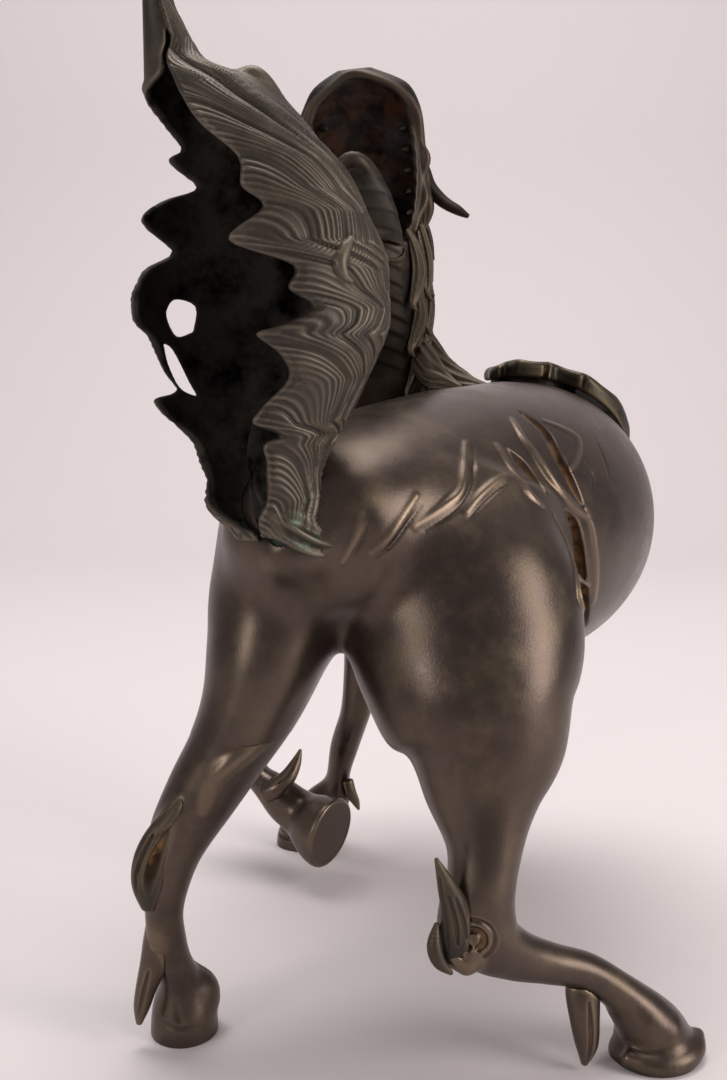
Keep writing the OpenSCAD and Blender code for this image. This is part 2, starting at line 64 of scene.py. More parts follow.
# Stations: x, y, z, half-size along the hint, half-size across it
TRUNK = [
    [55, 171, 236, 4, 5], [54, 166, 237, 12, 14], [50, 150, 240, 33, 38], [36, 122, 244, 44, 54],
    [12, 88, 241, 56, 67],
    [-18, 50, 235, 68, 73], [-49, 8, 228, 76.5, 77], [-67, -32, 227, 76, 76], [-59, -68, 228, 73, 68],
    [-26, -88, 230, 67, 57], [12, -90, 230, 62, 48], [44, -83, 227, 50, 40], [64, -77, 224, 30, 26],
    [72, -74, 223, 6, 6],
]
NECK = [
    [40, -86, 235, 38, 42], [36, -80, 262, 41, 45], [31, -68, 290, 38, 43], [26, -54, 318, 34, 38],
    [23, -40, 346, 31, 35], [22, -28, 372, 27, 32], [22, -24, 386, 24, 30],
]
RIGHT_HIND = [
    [-23, 92, 246, 40, 45], [-23, 112, 214, 48, 55], [-26, 130, 186, 44, 53.5], [-28.5, 144, 166, 37, 46.5],
    [-32, 152, 148, 30, 37], [-31, 160, 128, 23, 26.5], [-31, 169, 108, 17, 17], [-29, 176, 88, 14, 15],
    [-31, 177, 71, 13, 15.5], [-44, 172, 60, 10.5, 12], [-61, 165, 52, 9, 9.5], [-79, 159, 45, 9, 8.5],
    [-94, 156, 34, 9.5, 9], [-104, 153, 23, 12.5, 12], [-110, 150, 12, 17, 17], [-112, 150, 4, 19.5, 20],
    [-112, 150, -4, 19.5, 20],
]
LEFT_HIND = [
    [54, 96, 240, 34, 32], [61, 112, 210, 38, 33], [67, 124, 184, 34, 28], [74, 130, 162, 29, 23],
    [84, 134, 142, 24, 19], [96, 138, 122, 19, 17], [106, 142, 104, 15, 14.5], [111, 144, 88, 12.5, 11.5],
    [114, 144, 68, 9.5, 9], [113, 140, 50, 9, 8.5], [111, 137, 38, 9, 8.5], [109, 133, 27, 11, 10.5],
    [108, 130, 16, 15.5, 14.5], [108, 129, 4, 18, 16], [108, 129, -4, 18, 16],
]
RIGHT_FORE = [
    [2, -84, 215, 22, 24], [10, -82, 180, 22, 22], [17, -79, 150, 18, 17], [22, -78, 122, 14, 12.5],
    [27, -79, 96, 11.5, 9.5], [34, -85, 72, 10, 9], [38, -90, 52, 8.5, 7.5], [40, -94, 36, 10, 9.5],
    [48, -98, 25, 13, 13.5], [56, -101, 14, 15.5, 17.5], [59, -102, 4, 16, 19.5], [59, -102, -4, 16, 19.5],
]
LEFT_FORE = [
    [54, -80, 215, 20, 20], [63, -79, 180, 20, 20], [74, -82, 150, 17, 16.5], [88, -88, 122, 13.5, 13],
    [101, -90, 98, 11.5, 11], [103, -80, 82, 10.5, 10.5], [95, -66, 70, 8.5, 8.5], [86, -56, 61, 8.5, 8.5],
    [76, -50, 54, 10, 10], [68, -48, 47, 11, 11], [60, -45.5, 42, 13, 14], [52, -40, 38, 17, 19],
    [45, -35, 35, 19.5, 22], [41, -32, 34, 20, 22.5],
]


# ---------------------------------------------------------------- curves and tubes

def curve(rows, steps=6):
    """The rows as a smooth Catmull-Rom path, with steps points for each span."""
    rows = np.array(rows, float)
    ends = np.vstack([rows[:1], rows, rows[-1:]])
    t = (np.arange(steps) / steps)[:, None]
    spans = []
    for a, b, c, d in zip(ends, ends[1:], ends[2:], ends[3:]):
        square = (2 * a - 5 * b + 4 * c - d) * t**2
        cube = (3 * b - a - 3 * c + d) * t**3
        spans.append(0.5 * (2 * b + (c - a) * t + square + cube))
    return np.vstack(spans + [rows[-1:]])


def unit(v):
    return v / np.maximum(np.linalg.norm(v, axis=-1, keepdims=True), 1e-9)


def tube(rows, hint=ACROSS, sides=40, steps=6, grow=0.0, flutes=0, depth=0.0):
    """A closed tube through stations, as points, triangles and quads. Flutes are strands along it."""
    path = curve(rows, steps)
    along = unit(np.gradient(path[:, :3], axis=0))
    hint = np.array(hint, float)
    u = unit(hint - (along @ hint)[:, None] * along)
    v = np.cross(along, u)
    turn = np.linspace(0, 2 * math.pi, sides, endpoint=False)
    swell = 1 + depth * np.cos(flutes * turn)
    a = np.maximum(path[:, 3] + grow, 0.3)[:, None, None]
    b = np.maximum(path[:, 4] + grow, 0.3)[:, None, None]
    rings = path[:, None, :3] + a * (swell * np.cos(turn))[None, :, None] * u[:, None]
    rings = rings + b * (swell * np.sin(turn))[None, :, None] * v[:, None]
    count = len(path)
    points = np.vstack([rings.reshape(-1, 3), path[:1, :3], path[-1:, :3]])
    k = np.arange(sides)
    j = (k + 1) % sides
    quads = np.concatenate([
        np.stack([i * sides + k, i * sides + j, (i + 1) * sides + j, (i + 1) * sides + k], 1)
        for i in range(count - 1)
    ])
    last = (count - 1) * sides
    start_cap = np.stack([np.full(sides, count * sides), j, k], 1)
    end_cap = np.stack([np.full(sides, count * sides + 1), last + k, last + j], 1)
    return points, np.concatenate([start_cap, end_cap]), quads


def mirrored(rows):
    """Stations on the other side of the head."""
    rows = np.array(rows, float)
    rows[:, 0] = 2 * HEAD_MID_X - rows[:, 0]
    return rows


# ---------------------------------------------------------------- forms as distance fields

def blend(a, b, soft):
    """Two forms joined, with a fillet about soft wide."""
    h = np.maximum(soft - np.abs(a - b), 0)
    return np.minimum(a, b) - h * h * (0.25 / soft)


def carve(a, b, soft):
    """Form b cut out of form a."""
    return -blend(-a, b, soft)


class Block:
    """A box of space in small cells. A form in it is an array of distances, negative inside."""

    def __init__(self, low, high, cell):
        self.cell = cell * COARSE
        self.first = np.floor(np.array(low, float) / self.cell).astype(int)
        self.count = np.ceil(np.array(high, float) / self.cell).astype(int) - self.first + 1
        self.axes = [
            ((self.first[i] + np.arange(self.count[i])) * self.cell).astype(np.float32).reshape(
                [-1 if i == j else 1 for j in range(3)])
            for i in range(3)
        ]
        self.x, self.y, self.z = self.axes

    def form(self, mesh, band=BAND):
        points, triangles, quads = mesh
        grid = vdb.FloatGrid.createLevelSetFromPolygons(
            points.astype(np.float32), triangles=triangles.astype(np.uint32), quads=quads.astype(np.uint32),
            transform=vdb.createLinearTransform(self.cell), halfWidth=max(band / self.cell, 3))
        field = np.zeros(self.count, np.float32)
        grid.copyToArray(field, ijk=tuple(int(i) for i in self.first))
        return field

    def part(self, low, high):
        """The cells of the block that lie in a smaller box."""
        a = np.clip(np.floor(np.array(low) / self.cell).astype(int) - self.first, 0, self.count - 1)
        b = np.clip(np.ceil(np.array(high) / self.cell).astype(int) - self.first + 1, a + 1, self.count)
        return tuple(slice(i, j) for i, j in zip(a, b))

    def bead(self, rows, margin, steps=5):
        """The cells near a bead through rows of x, y, z, radius, and their distance from it."""
        path = curve(rows, steps)
        reach = path[:, 3].max() + margin
        cells = self.part(path[:, :3].min(0) - reach, path[:, :3].max(0) + reach)
        x, y, z = self.x[cells[0]], self.y[:, cells[1]], self.z[:, :, cells[2]]
        near = np.full([c.stop - c.start for c in cells], BAND, np.float32)
        for a, b in zip(path[:-1], path[1:]):
            d = b - a
            length = max(d[:3] @ d[:3], 1e-6)
            t = np.clip(((x - a[0]) * d[0] + (y - a[1]) * d[1] + (z - a[2]) * d[2]) / length, 0, 1)
            off = (x - a[0] - t * d[0])**2 + (y - a[1] - t * d[1])**2 + (z - a[2] - t * d[2])**2
            near = np.minimum(near, np.sqrt(off) - (a[3] + t * d[3]))
        return cells, near

    def raise_bead(self, field, rows, soft=2.0):
        cells, near = self.bead(rows, 3 * soft)
        field[cells] = blend(field[cells], near, soft)

    def cut_bead(self, field, rows, soft=1.2):
        cells, near = self.bead(rows, 3 * soft)
        field[cells] = carve(field[cells], near, soft)

    def sample(self, field, places):
        """The field at places in millimetres."""
        g = places / self.cell - self.first
        base = np.clip(np.floor(g).astype(int), 0, self.count - 2)
        t = np.clip(g - base, 0, 1)
        total = 0
        for i in (0, 1):
            for j in (0, 1):
                for k in (0, 1):
                    share = (t[:, 0] if i else 1 - t[:, 0]) * (t[:, 1] if j else 1 - t[:, 1])
                    share = share * (t[:, 2] if k else 1 - t[:, 2])
                    total = total + share * field[base[:, 0] + i, base[:, 1] + j, base[:, 2] + k]
        return total

    def slope(self, field, places):
        step = self.cell
        return np.stack([
            (self.sample(field, places + off) - self.sample(field, places - off)) / (2 * step)
            for off in np.eye(3) * step
        ], 1)

    def lay(self, field, rows, toward):
        """Rows of x, y, z, radius, lift, moved along toward to the surface and lifted off it."""
        rows = np.array(rows, float)
        toward = np.array(toward, float)
        steps = np.arange(-80, 80, 0.5)
        places = rows[:, None, :3] + steps[None, :, None] * toward
        inside = self.sample(field, places.reshape(-1, 3)).reshape(len(rows), -1) < 0
        first = np.where(inside.any(1), inside.argmax(1), len(steps) // 2)
        met = rows[:, :3] + steps[first][:, None] * toward
        out = unit(self.slope(field, met))
        return np.hstack([met + out * rows[:, 4:5], rows[:, 3:4]])

    def skin(self, field):
        """The surface of a form: points on it, triangles and quads that face outwards."""
        grid = vdb.FloatGrid(BAND)
        grid.transform = vdb.createLinearTransform(self.cell)
        grid.copyFromArray(np.ascontiguousarray(field), ijk=tuple(int(i) for i in self.first))
        points, triangles, quads = grid.convertToPolygons(isovalue=0.0, adaptivity=0.0)
        points = points.astype(float)
        for _ in range(2):
            slope = self.slope(field, points)
            far = self.sample(field, points) / np.maximum((slope**2).sum(1), 0.3)
            points -= np.clip(far, -0.4 * self.cell, 0.4 * self.cell)[:, None] * slope
        corners = points[quads[:, :3]]
        facing = np.cross(corners[:, 1] - corners[:, 0], corners[:, 2] - corners[:, 0])
        if (facing * self.slope(field, corners[:, 0])).sum() < 0:
            quads, triangles = quads[:, ::-1], triangles[:, ::-1]
        return points, triangles, quads


# ---------------------------------------------------------------- meshes and pieces

def mesh_of(name, points, triangles, quads):
    mesh = bpy.data.meshes.new(name)
    corners = np.concatenate([quads.ravel(), triangles.ravel()]).astype(np.int32)
    starts = np.concatenate([np.arange(len(quads)) * 4, len(quads) * 4 + np.arange(len(triangles)) * 3])
    mesh.vertices.add(len(points))
    mesh.vertices.foreach_set("co", ((points - MID) * MM).astype(np.float32).ravel())
    mesh.loops.add(len(corners))
    mesh.loops.foreach_set("vertex_index", corners)
    mesh.polygons.add(len(starts))
    mesh.polygons.foreach_set("loop_start", starts.astype(np.int32))
    mesh.update(calc_edges=True)
    mesh.validate()
    return mesh


def places_of(mesh):
    co = np.empty(len(mesh.vertices) * 3, np.float32)
    mesh.vertices.foreach_get("co", co)
    return co.reshape(-1, 3) / MM + MID


def cut_level(mesh, height, above):
    """Keeps the part above or below a level and closes it with a flat face."""
    bm = bmesh.new()
    bm.from_mesh(mesh)
    everything = bm.verts[:] + bm.edges[:] + bm.faces[:]
    cut = bmesh.ops.bisect_plane(
        bm, geom=everything, dist=1e-7, plane_co=(0, 0, height * MM), plane_no=(0, 0, 1),
        clear_inner=above, clear_outer=not above)
    rim = [e for e in cut["geom_cut"] if isinstance(e, bmesh.types.BMEdge) and e.is_boundary]
    bmesh.ops.triangle_fill(bm, edges=rim, use_beauty=True, normal=(0, 0, -1 if above else 1))
    bmesh.ops.recalc_face_normals(bm, faces=bm.faces[:])
    bm.to_mesh(mesh)
    bm.free()


CRUMB_SHARE = 0.02


def without_crumbs(points, triangles, quads):
    """Drops islands that have far fewer points than the largest."""
    ends = np.concatenate([
        quads[:, [0, 1]], quads[:, [1, 2]], quads[:, [2, 3]], triangles[:, [0, 1]], triangles[:, [1, 2]]])
    a, b = ends[:, 0].astype(np.int64), ends[:, 1].astype(np.int64)
    label = np.arange(len(points))
    while True:
        low = np.minimum(label[a], label[b])
        fresh = label.copy()
        np.minimum.at(fresh, label[a], low)
        np.minimum.at(fresh, label[b], low)
        fresh = fresh[fresh]
        if np.array_equal(fresh, label):
            break
        label = fresh
    sizes = np.bincount(label, minlength=len(points))
    keep = sizes[label] >= sizes.max() * CRUMB_SHARE
    place = np.cumsum(keep) - 1
    triangles = triangles[keep[triangles[:, 0]]]
    quads = quads[keep[quads[:, 0]]]
    return points[keep], place[triangles], place[quads]


EDGE_REACH = 1.3


def finish_mesh(mesh, block, field, base):
    """Smooth normals from the form itself, its relief over the plain form, and how sharply it bends."""
    places = places_of(mesh)
    here = block.sample(field, places)
    around = sum(
        block.sample(field, places + off) + block.sample(field, places - off)
        for off in np.eye(3) * EDGE_REACH)
    bend = (around - 6 * here) / EDGE_REACH**2
    mesh.shade_smooth()
    mesh.normals_split_custom_set_from_vertices(unit(block.slope(field, places)).tolist())
    for name, values in (("relief", block.sample(base, places)), ("edge", bend)):
        attribute = mesh.attributes.new(name, "FLOAT", "POINT")
        attribute.data.foreach_set("value", values.astype(np.float32))


def piece(name, mesh, nodes, material, body="statue"):
    mesh.materials.append(material)
    obj = bpy.data.objects.new(name, mesh)
    bpy.context.scene.collection.objects.link(obj)
    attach(obj, body)
    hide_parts(*nodes)
    return obj


def cast(name, block, field, base, nodes, material, body="statue", cuts=()):
    """A piece from a form, cut at levels given as (height, keep above)."""
    mesh = mesh_of(name, *without_crumbs(*block.skin(field)))
    for height, above in cuts:
        cut_level(mesh, height, above)
    finish_mesh(mesh, block, field, base)
    return piece(name, mesh, nodes, material, body)


# ---------------------------------------------------------------- materials

def make_material(name, colours, roughness, metal, grain, dirt_and_shade_tint, dirt_and_shade_depth, crest=0.35, stain_and_shade=None):
    """Patinated bronze: mottled colours, rubbed edges, fine pits and brush marks; painted shade in creases
    and shallow grooves, dirt and painted shade in deep relief.
    """
    material = bpy.data.materials.new(name)
    material.use_nodes = True
    nodes = material.node_tree.nodes
    links = material.node_tree.links
    nodes.clear()

    def add(kind, inputs=(), **settings):
        node = nodes.new(kind)
        for key, value in settings.items():
            setattr(node, key, value)
        for key, value in dict(inputs).items():
            if isinstance(value, bpy.types.NodeSocket):
                links.new(value, node.inputs[key])
            else:
                node.inputs[key].default_value = value
        return node

    def mix(share, a, b):
        node = add("ShaderNodeMix", data_type="RGBA")
        for index, value in ((0, share), (6, a), (7, b)):
            if isinstance(value, bpy.types.NodeSocket):
                links.new(value, node.inputs[index])
            else:
                node.inputs[index].default_value = value
        return node.outputs[2]

    def spread(value, low, high, out_low=0.0, out_high=1.0):
        return add("ShaderNodeMapRange", {"Value": value, "From Min": low, "From Max": high,
                                          "To Min": out_low, "To Max": out_high}).outputs["Result"]

    def noise(place, scale, detail=4.0, rough=0.55):
        return add("ShaderNodeTexNoise", {"Vector": place, "Scale": scale, "Detail": detail,
                                          "Roughness": rough}).outputs["Fac"]

    def times(a, b):
        return add("ShaderNodeMath", {0: a, 1: b}, operation="MULTIPLY").outputs[0]

    place = add("ShaderNodeTexCoord").outputs["Object"]
    drawn = add("ShaderNodeMapping", {"Vector": place, "Scale": (1.0, 1.0, 0.16)}).outputs["Vector"]
    broad = noise(place, 16.0)
    patch = noise(place, 55.0, 6.0, 0.65)
    fine = noise(place, 700.0, 5.0, 0.7)
    brushed = noise(drawn, 1500.0, 3.0, 0.6)
    dark, mid, warm, rubbed = (tuple(c) + (1.0,) for c in colours)
    colour = mix(spread(broad, 0.38, 0.62), dark, mid)
    colour = mix(spread(patch, 0.48, 0.72, 0.0, 0.75), colour, warm)
    colour = mix(spread(fine, 0.42, 0.75, 0.0, 0.35), colour, dark)
    relief = add("ShaderNodeAttribute", attribute_name="relief").outputs["Fac"]
    edge = add("ShaderNodeAttribute", attribute_name="edge").outputs["Fac"]
    rub = times(spread(edge, 0.12, 0.7, 0.0, 0.8), spread(patch, 0.3, 0.7, 0.4, 1.0))
    colour = mix(rub, colour, rubbed)
    # Concave bends take the dark tone: painted shade in creases, partly dirt.
    colour = mix(spread(edge, -0.12, -0.7, 0.0, 0.75), colour, dark)
    colour = mix(spread(relief, 0.05, 0.55, 0.0, crest), colour, rubbed)
    # Relief cut just below the plain form takes the dark tone: painted shade in shallow grooves, partly dirt.
    colour = mix(spread(relief, 0.0, -0.45, 0.0, 1.4 * crest), colour, dark)
    # Deep relief and the insides of hollow shells take the dirt tint, in patches a copy of it at 0.12 of its
    # brightness: dirt, with painted shade in deep grooves and hollows. The same mask takes away metal and
    # gloss.
    deep = spread(relief, -0.5, -dirt_and_shade_depth)
    dirt_and_shade = times(deep, spread(patch, 0.38, 0.62, 0.55, 1.0))
    dirt_in_shade = tuple(0.12 * c for c in dirt_and_shade_tint) + (1.0,)
    colour = mix(dirt_and_shade, colour, mix(spread(noise(place, 90.0), 0.44, 0.58), dirt_in_shade, tuple(dirt_and_shade_tint) + (1.0,)))
    # A patch of tint about a centre: verdigris on the tail, painted shade on the throat of the neck.
    if stain_and_shade:
        centre, reach, tint, share, even = stain_and_shade
        away = add("ShaderNodeVectorMath", {0: place, 1: centre}, operation="DISTANCE").outputs["Value"]
        patchy = spread(noise(place, 130.0, 6.0, 0.7), 0.5, 0.62, even, 1.0)
        near = times(spread(away, reach, reach * 0.35, 0.0, share), patchy)
        colour = mix(near, colour, tuple(tint) + (1.0,))
    rough = spread(patch, 0.3, 0.7, roughness - 0.06, roughness + 0.1)
    rough = add("ShaderNodeMath", {0: rough, 1: times(dirt_and_shade, 0.35)}, operation="ADD").outputs[0]
    height = add("ShaderNodeMath", {0: times(fine, 0.7), 1: times(brushed, 0.5)}, operation="ADD").outputs[0]
    bump = add("ShaderNodeBump", {"Strength": grain, "Distance": 0.0004, "Height": height}).outputs["Normal"]
    shine = times(add("ShaderNodeMath", {0: 1.0, 1: dirt_and_shade}, operation="SUBTRACT").outputs[0], metal)
    gloss = spread(dirt_and_shade, 0.0, 1.0, 0.5, 0.04)
    shader = add("ShaderNodeBsdfPrincipled", {"Base Color": colour, "Roughness": rough, "Normal": bump,
                                              "Metallic": shine, "Specular IOR Level": gloss})
    output = add("ShaderNodeOutputMaterial")
    links.new(shader.outputs["BSDF"], output.inputs["Surface"])
    return material


OCHRE = (0.21, 0.105, 0.035)
# Near-black tint for the tail's deep relief: painted shade inside the hollow shell.
PAINTED_SHADE_BLACK = (0.0035, 0.0025, 0.002)
SMOOTH = make_material(
    "patinated_bronze",
    [(0.068, 0.049, 0.041), (0.100, 0.075, 0.060), (0.130, 0.100, 0.064), (0.23, 0.17, 0.115)],
    0.31, 0.84, 0.22, OCHRE, 2.6)
# Dark bronze for skull, tongue, horns and hidden fittings; on the skull and tongue the darkness is partly
# painted shade inside the open mouth.
DARK = make_material(
    "dark_bronze",
    [(0.010, 0.007, 0.006), (0.022, 0.016, 0.012), (0.060, 0.034, 0.018), (0.10, 0.07, 0.045)],
    0.45, 0.6, 0.35, (0.030, 0.012, 0.006), 3.0)
FURRED = make_material(
    "furred_bronze",
    [(0.038, 0.031, 0.025), (0.072, 0.059, 0.046), (0.105, 0.083, 0.058), (0.18, 0.148, 0.112)],
    0.44, 0.70, 0.3, PAINTED_SHADE_BLACK, 1.6, 0.28,
    stain_and_shade=((0.058, 0.128, 0.245), 0.030, (0.10, 0.20, 0.14), 0.7, 0.0))
HAIR = make_material(
    "hair_bronze",
    [(0.018, 0.015, 0.011), (0.038, 0.031, 0.022), (0.070, 0.051, 0.031), (0.115, 0.088, 0.058)],
    0.46, 0.70, 0.3, (0.070, 0.040, 0.020), 2.5, 0.4)
FLAME = make_material(
    "flame_bronze",
    [(0.026, 0.021, 0.017), (0.052, 0.041, 0.031), (0.090, 0.064, 0.036), (0.15, 0.11, 0.07)],
    0.46, 0.65, 0.35, OCHRE, 1.7, 0.4)
# A near-black copy of the bronze for the lower jaw and upper teeth: painted shade under and inside the open
# mouth.
THROAT_SHADE = make_material(
    "throat_bronze_shaded",
    [(0.010, 0.008, 0.006), (0.022, 0.018, 0.012), (0.042, 0.033, 0.020), (0.072, 0.055, 0.036)],
    0.46, 0.6, 0.35, (0.060, 0.036, 0.016), 2.5)
# The body's colours, with a near-black patch on the throat side: painted shade.
NECK_BRONZE = make_material(
    "neck_bronze",
    [(0.068, 0.049, 0.041), (0.100, 0.075, 0.060), (0.130, 0.100, 0.064), (0.23, 0.17, 0.115)],
    0.34, 0.80, 0.3, OCHRE, 2.5,
    stain_and_shade=((0.029, -0.040, 0.345), 0.082, (0.010, 0.008, 0.006), 0.97, 0.9))
COVER = make_material(
    "cover_bronze",
    [(0.034, 0.028, 0.022), (0.068, 0.053, 0.040), (0.10, 0.078, 0.045), (0.20, 0.15, 0.08)],
    0.38, 0.75, 0.3, (0.15, 0.085, 0.03), 2.0)
BRIGHT = make_material(
    "worn_bronze",
    [(0.09, 0.066, 0.045), (0.16, 0.115, 0.07), (0.20, 0.145, 0.08), (0.32, 0.24, 0.14)],
    0.36, 0.85, 0.3, OCHRE, 1.5)


# ---------------------------------------------------------------- body and legs

LIMB_FILLET = 14.0
NECK_FILLET = 12.0


def evened(field, rounds=8):
    """The field with the small facets of its tubes smoothed out."""
    for axis in range(3):
        rows = np.moveaxis(field, axis, 0)
        for _ in range(rounds):
            rows[1:-1] = 0.5 * rows[1:-1] + 0.25 * (rows[:-2] + rows[2:])
    return field


def torso(block, limbs=(RIGHT_HIND, LEFT_HIND, RIGHT_FORE, LEFT_FORE), neck=True):
    """The smooth outside of trunk, limbs and neck."""
    field = block.form(tube(TRUNK, UP, 180, 14))
    for rows in limbs:
        field = blend(field, block.form(tube(rows, ACROSS, 120, 12)), LIMB_FILLET)
    if neck:
        field = blend(field, block.form(tube(NECK, ACROSS, 90, 8)), NECK_FILLET)
    return evened(field)


# Relief on the flanks: x, z, radius, lift over the surface. Each is laid on from the right of the statue.
DEEP_CUTS = [
    [[-55, 292, 0.6, 0], [-60, 289, 2.2, -0.4], [-67, 283, 3.1, -0.8], [-71, 275, 3.4, -1],
     [-75, 267, 3.2, -1],
     [-80, 257, 2.6, -0.6], [-85, 247, 0.8, 0]],
    [[-45, 277, 0.5, 0], [-49, 273, 2.0, -0.4], [-53, 269, 2.7, -0.8], [-58, 263, 2.4, -0.6],
     [-63, 257, 0.6, 0]],
    [[-74, 247, 0.8, 0], [-79, 240, 3.6, -1], [-82, 229, 4.6, -1.6], [-85, 213, 4.4, -1.6],
     [-89, 198, 3.4, -1],
     [-94, 180, 0.8, 0]],
]
RAISED_RIBS = [
    [[-50, 289, 0.5, 0], [-54, 281, 1.5, -0.2], [-60, 272, 2.0, 0], [-68, 260, 2.2, 0.2], [-77, 250, 2.0, 0],
     [-87, 242, 0.6, 0]],
    [[-86, 246, 0.8, 0.1], [-90, 236, 1.4, 0.4], [-92, 224, 1.5, 0.5], [-94, 210, 1.3, 0.3],
     [-95, 196, 0.5, 0]],
    [[-66, 247, 0.5, 0], [-71, 236, 1.2, 0], [-74, 222, 1.3, 0], [-77, 208, 1.0, 0], [-84, 196, 0.4, 0]],
    [[-40, 279, 0.4, 0], [-45, 270, 1.0, -0.1], [-52, 260, 1.1, -0.1], [-60, 252, 0.4, 0]],
    [[-68, 287, 0.4, 0], [-78, 283, 0.8, -0.3], [-86, 278, 0.8, -0.3], [-84, 270, 0.8, -0.3],
     [-78, 264, 0.4, 0]],
    [[-76, 220, 0.6, 0], [-82, 213, 1.8, 0.6], [-90, 206, 0.6, 0.4]],
    [[-25, 281, 0.4, -0.2], [-23, 270, 1.0, -0.5], [-21, 262, 1.2, -0.5], [-15, 257, 1.2, -0.5],
     [0, 248, 0.4, -0.2]],
    [[-43, 267, 0.4, -0.2], [-36, 264, 1.0, -0.5], [-29, 259, 1.2, -0.5], [-23, 253, 0.4, -0.2]],
    [[-1, 261, 0.4, -0.2], [5, 253, 1.1, -0.5], [11, 245, 1.2, -0.5], [19, 238, 0.4, -0.2]],
    [[23, 255, 0.4, -0.2], [25, 246, 1.0, -0.5], [31, 234, 0.4, -0.2]],
]
# Shallow hollows on the upper side of each lick of fur
LICK_CUTS = [
    [[-28, 279, 0.2, 0], [-27, 270, 0.7, 0.2], [-25, 262, 0.9, 0.2], [-18, 254, 0.9, 0.2],
     [-4, 246, 0.2, 0]],
    [[-42, 263, 0.2, 0], [-36, 260, 0.7, 0.2], [-29, 255, 0.8, 0.2], [-24, 250, 0.2, 0]],
    [[-3, 257, 0.2, 0], [3, 250, 0.8, 0.2], [9, 242, 0.9, 0.2], [16, 236, 0.2, 0]],
    [[20, 253, 0.2, 0], [22, 245, 0.8, 0.2], [28, 234, 0.2, 0]],
    [[-88, 268, 0.2, 0], [-92, 260, 0.8, 0.1], [-90, 252, 0.2, 0]],
    [[-97, 276, 0.2, 0], [-101, 266, 0.7, 0.1], [-102, 258, 0.2, 0]],
]
FLANK_VIEW = (0, -1, 0)
# The same flames on the far flank, laid on from the statue's left
FAR_CUTS = [
    [[60, 262, 0.6, 0], [40, 255, 2.2, -0.4], [22, 244, 2.8, -0.8], [6, 236, 0.7, 0]],
    [[40, 232, 0.6, 0], [24, 226, 2.2, -0.5], [10, 214, 2.6, -0.7], [0, 200, 0.6, 0]],
]
FAR_RIBS = [
    [[62, 256, 0.5, 0], [44, 248, 1.8, 0.4], [24, 236, 2.0, 0.5], [8, 228, 0.5, 0]],
    [[80, 240, 0.5, 0], [66, 236, 1.6, 0.3], [54, 226, 1.6, 0.3], [46, 212, 0.5, 0]],
    [[-20, 262, 0.5, 0], [-34, 256, 1.5, 0.3], [-46, 246, 1.5, 0.3], [-52, 232, 0.5, 0]],
]
FAR_VIEW = (-1, 0, 0)


def flank_rows(rows, toward):
    """Rows given as (along, height, radius, lift), set outside the trunk on the side that toward looks at."""
    out = []
    for along, height, radius, lift in rows:
        place = [along, 120.0, height] if toward == FLANK_VIEW else [90.0, along, height]
        out.append(place + [radius, lift])
    return out


def build_body():
    block = Block((-150, -152, 143), (114, 188, 314), 1.0)
    field = torso(block)
    plain = field.copy()
    hollow = block.form(tube(TRUNK[3:-2], UP, 72, 10, grow=-WALL))
    for cuts, ribs, toward in ((DEEP_CUTS, RAISED_RIBS, FLANK_VIEW), (FAR_CUTS, FAR_RIBS, FAR_VIEW)):
        for rows in cuts:
            laid = block.lay(plain, flank_rows(rows, toward), toward)
            block.cut_bead(field, laid)
            block.cut_bead(hollow, laid + np.array([0, 0, 0, WALL]), 3.0)
        for rows in ribs:
            block.raise_bead(field, block.lay(plain, flank_rows(rows, toward), toward), 2.2)
    for rows in LICK_CUTS:
        block.cut_bead(field, block.lay(plain, flank_rows(rows, FLANK_VIEW), FLANK_VIEW), 0.8)
    field = np.maximum(field, -hollow)
    opening = np.hypot(block.x - OPENING_AT[0], block.y - OPENING_AT[1]) - OPENING_R
    field = carve(field, np.maximum(opening, OPENING_LOW_Z - block.z), 1.5)
    collar = np.hypot(block.x - COLLAR_AT[0], block.y - COLLAR_AT[1]) - COLLAR_R
    field = np.maximum(field, -np.maximum(collar, NECK_JOINT_Z - 36 - block.z))
    nodes = ["body_front", "body_rear", "right_thigh", "left_thigh", "right_shoulder", "left_shoulder"]
    cuts = [(LEG_JOINT_Z, True), (NECK_JOINT_Z, False)]
    cast("body", block, field.astype(np.float32), plain, nodes, SMOOTH, cuts=cuts)


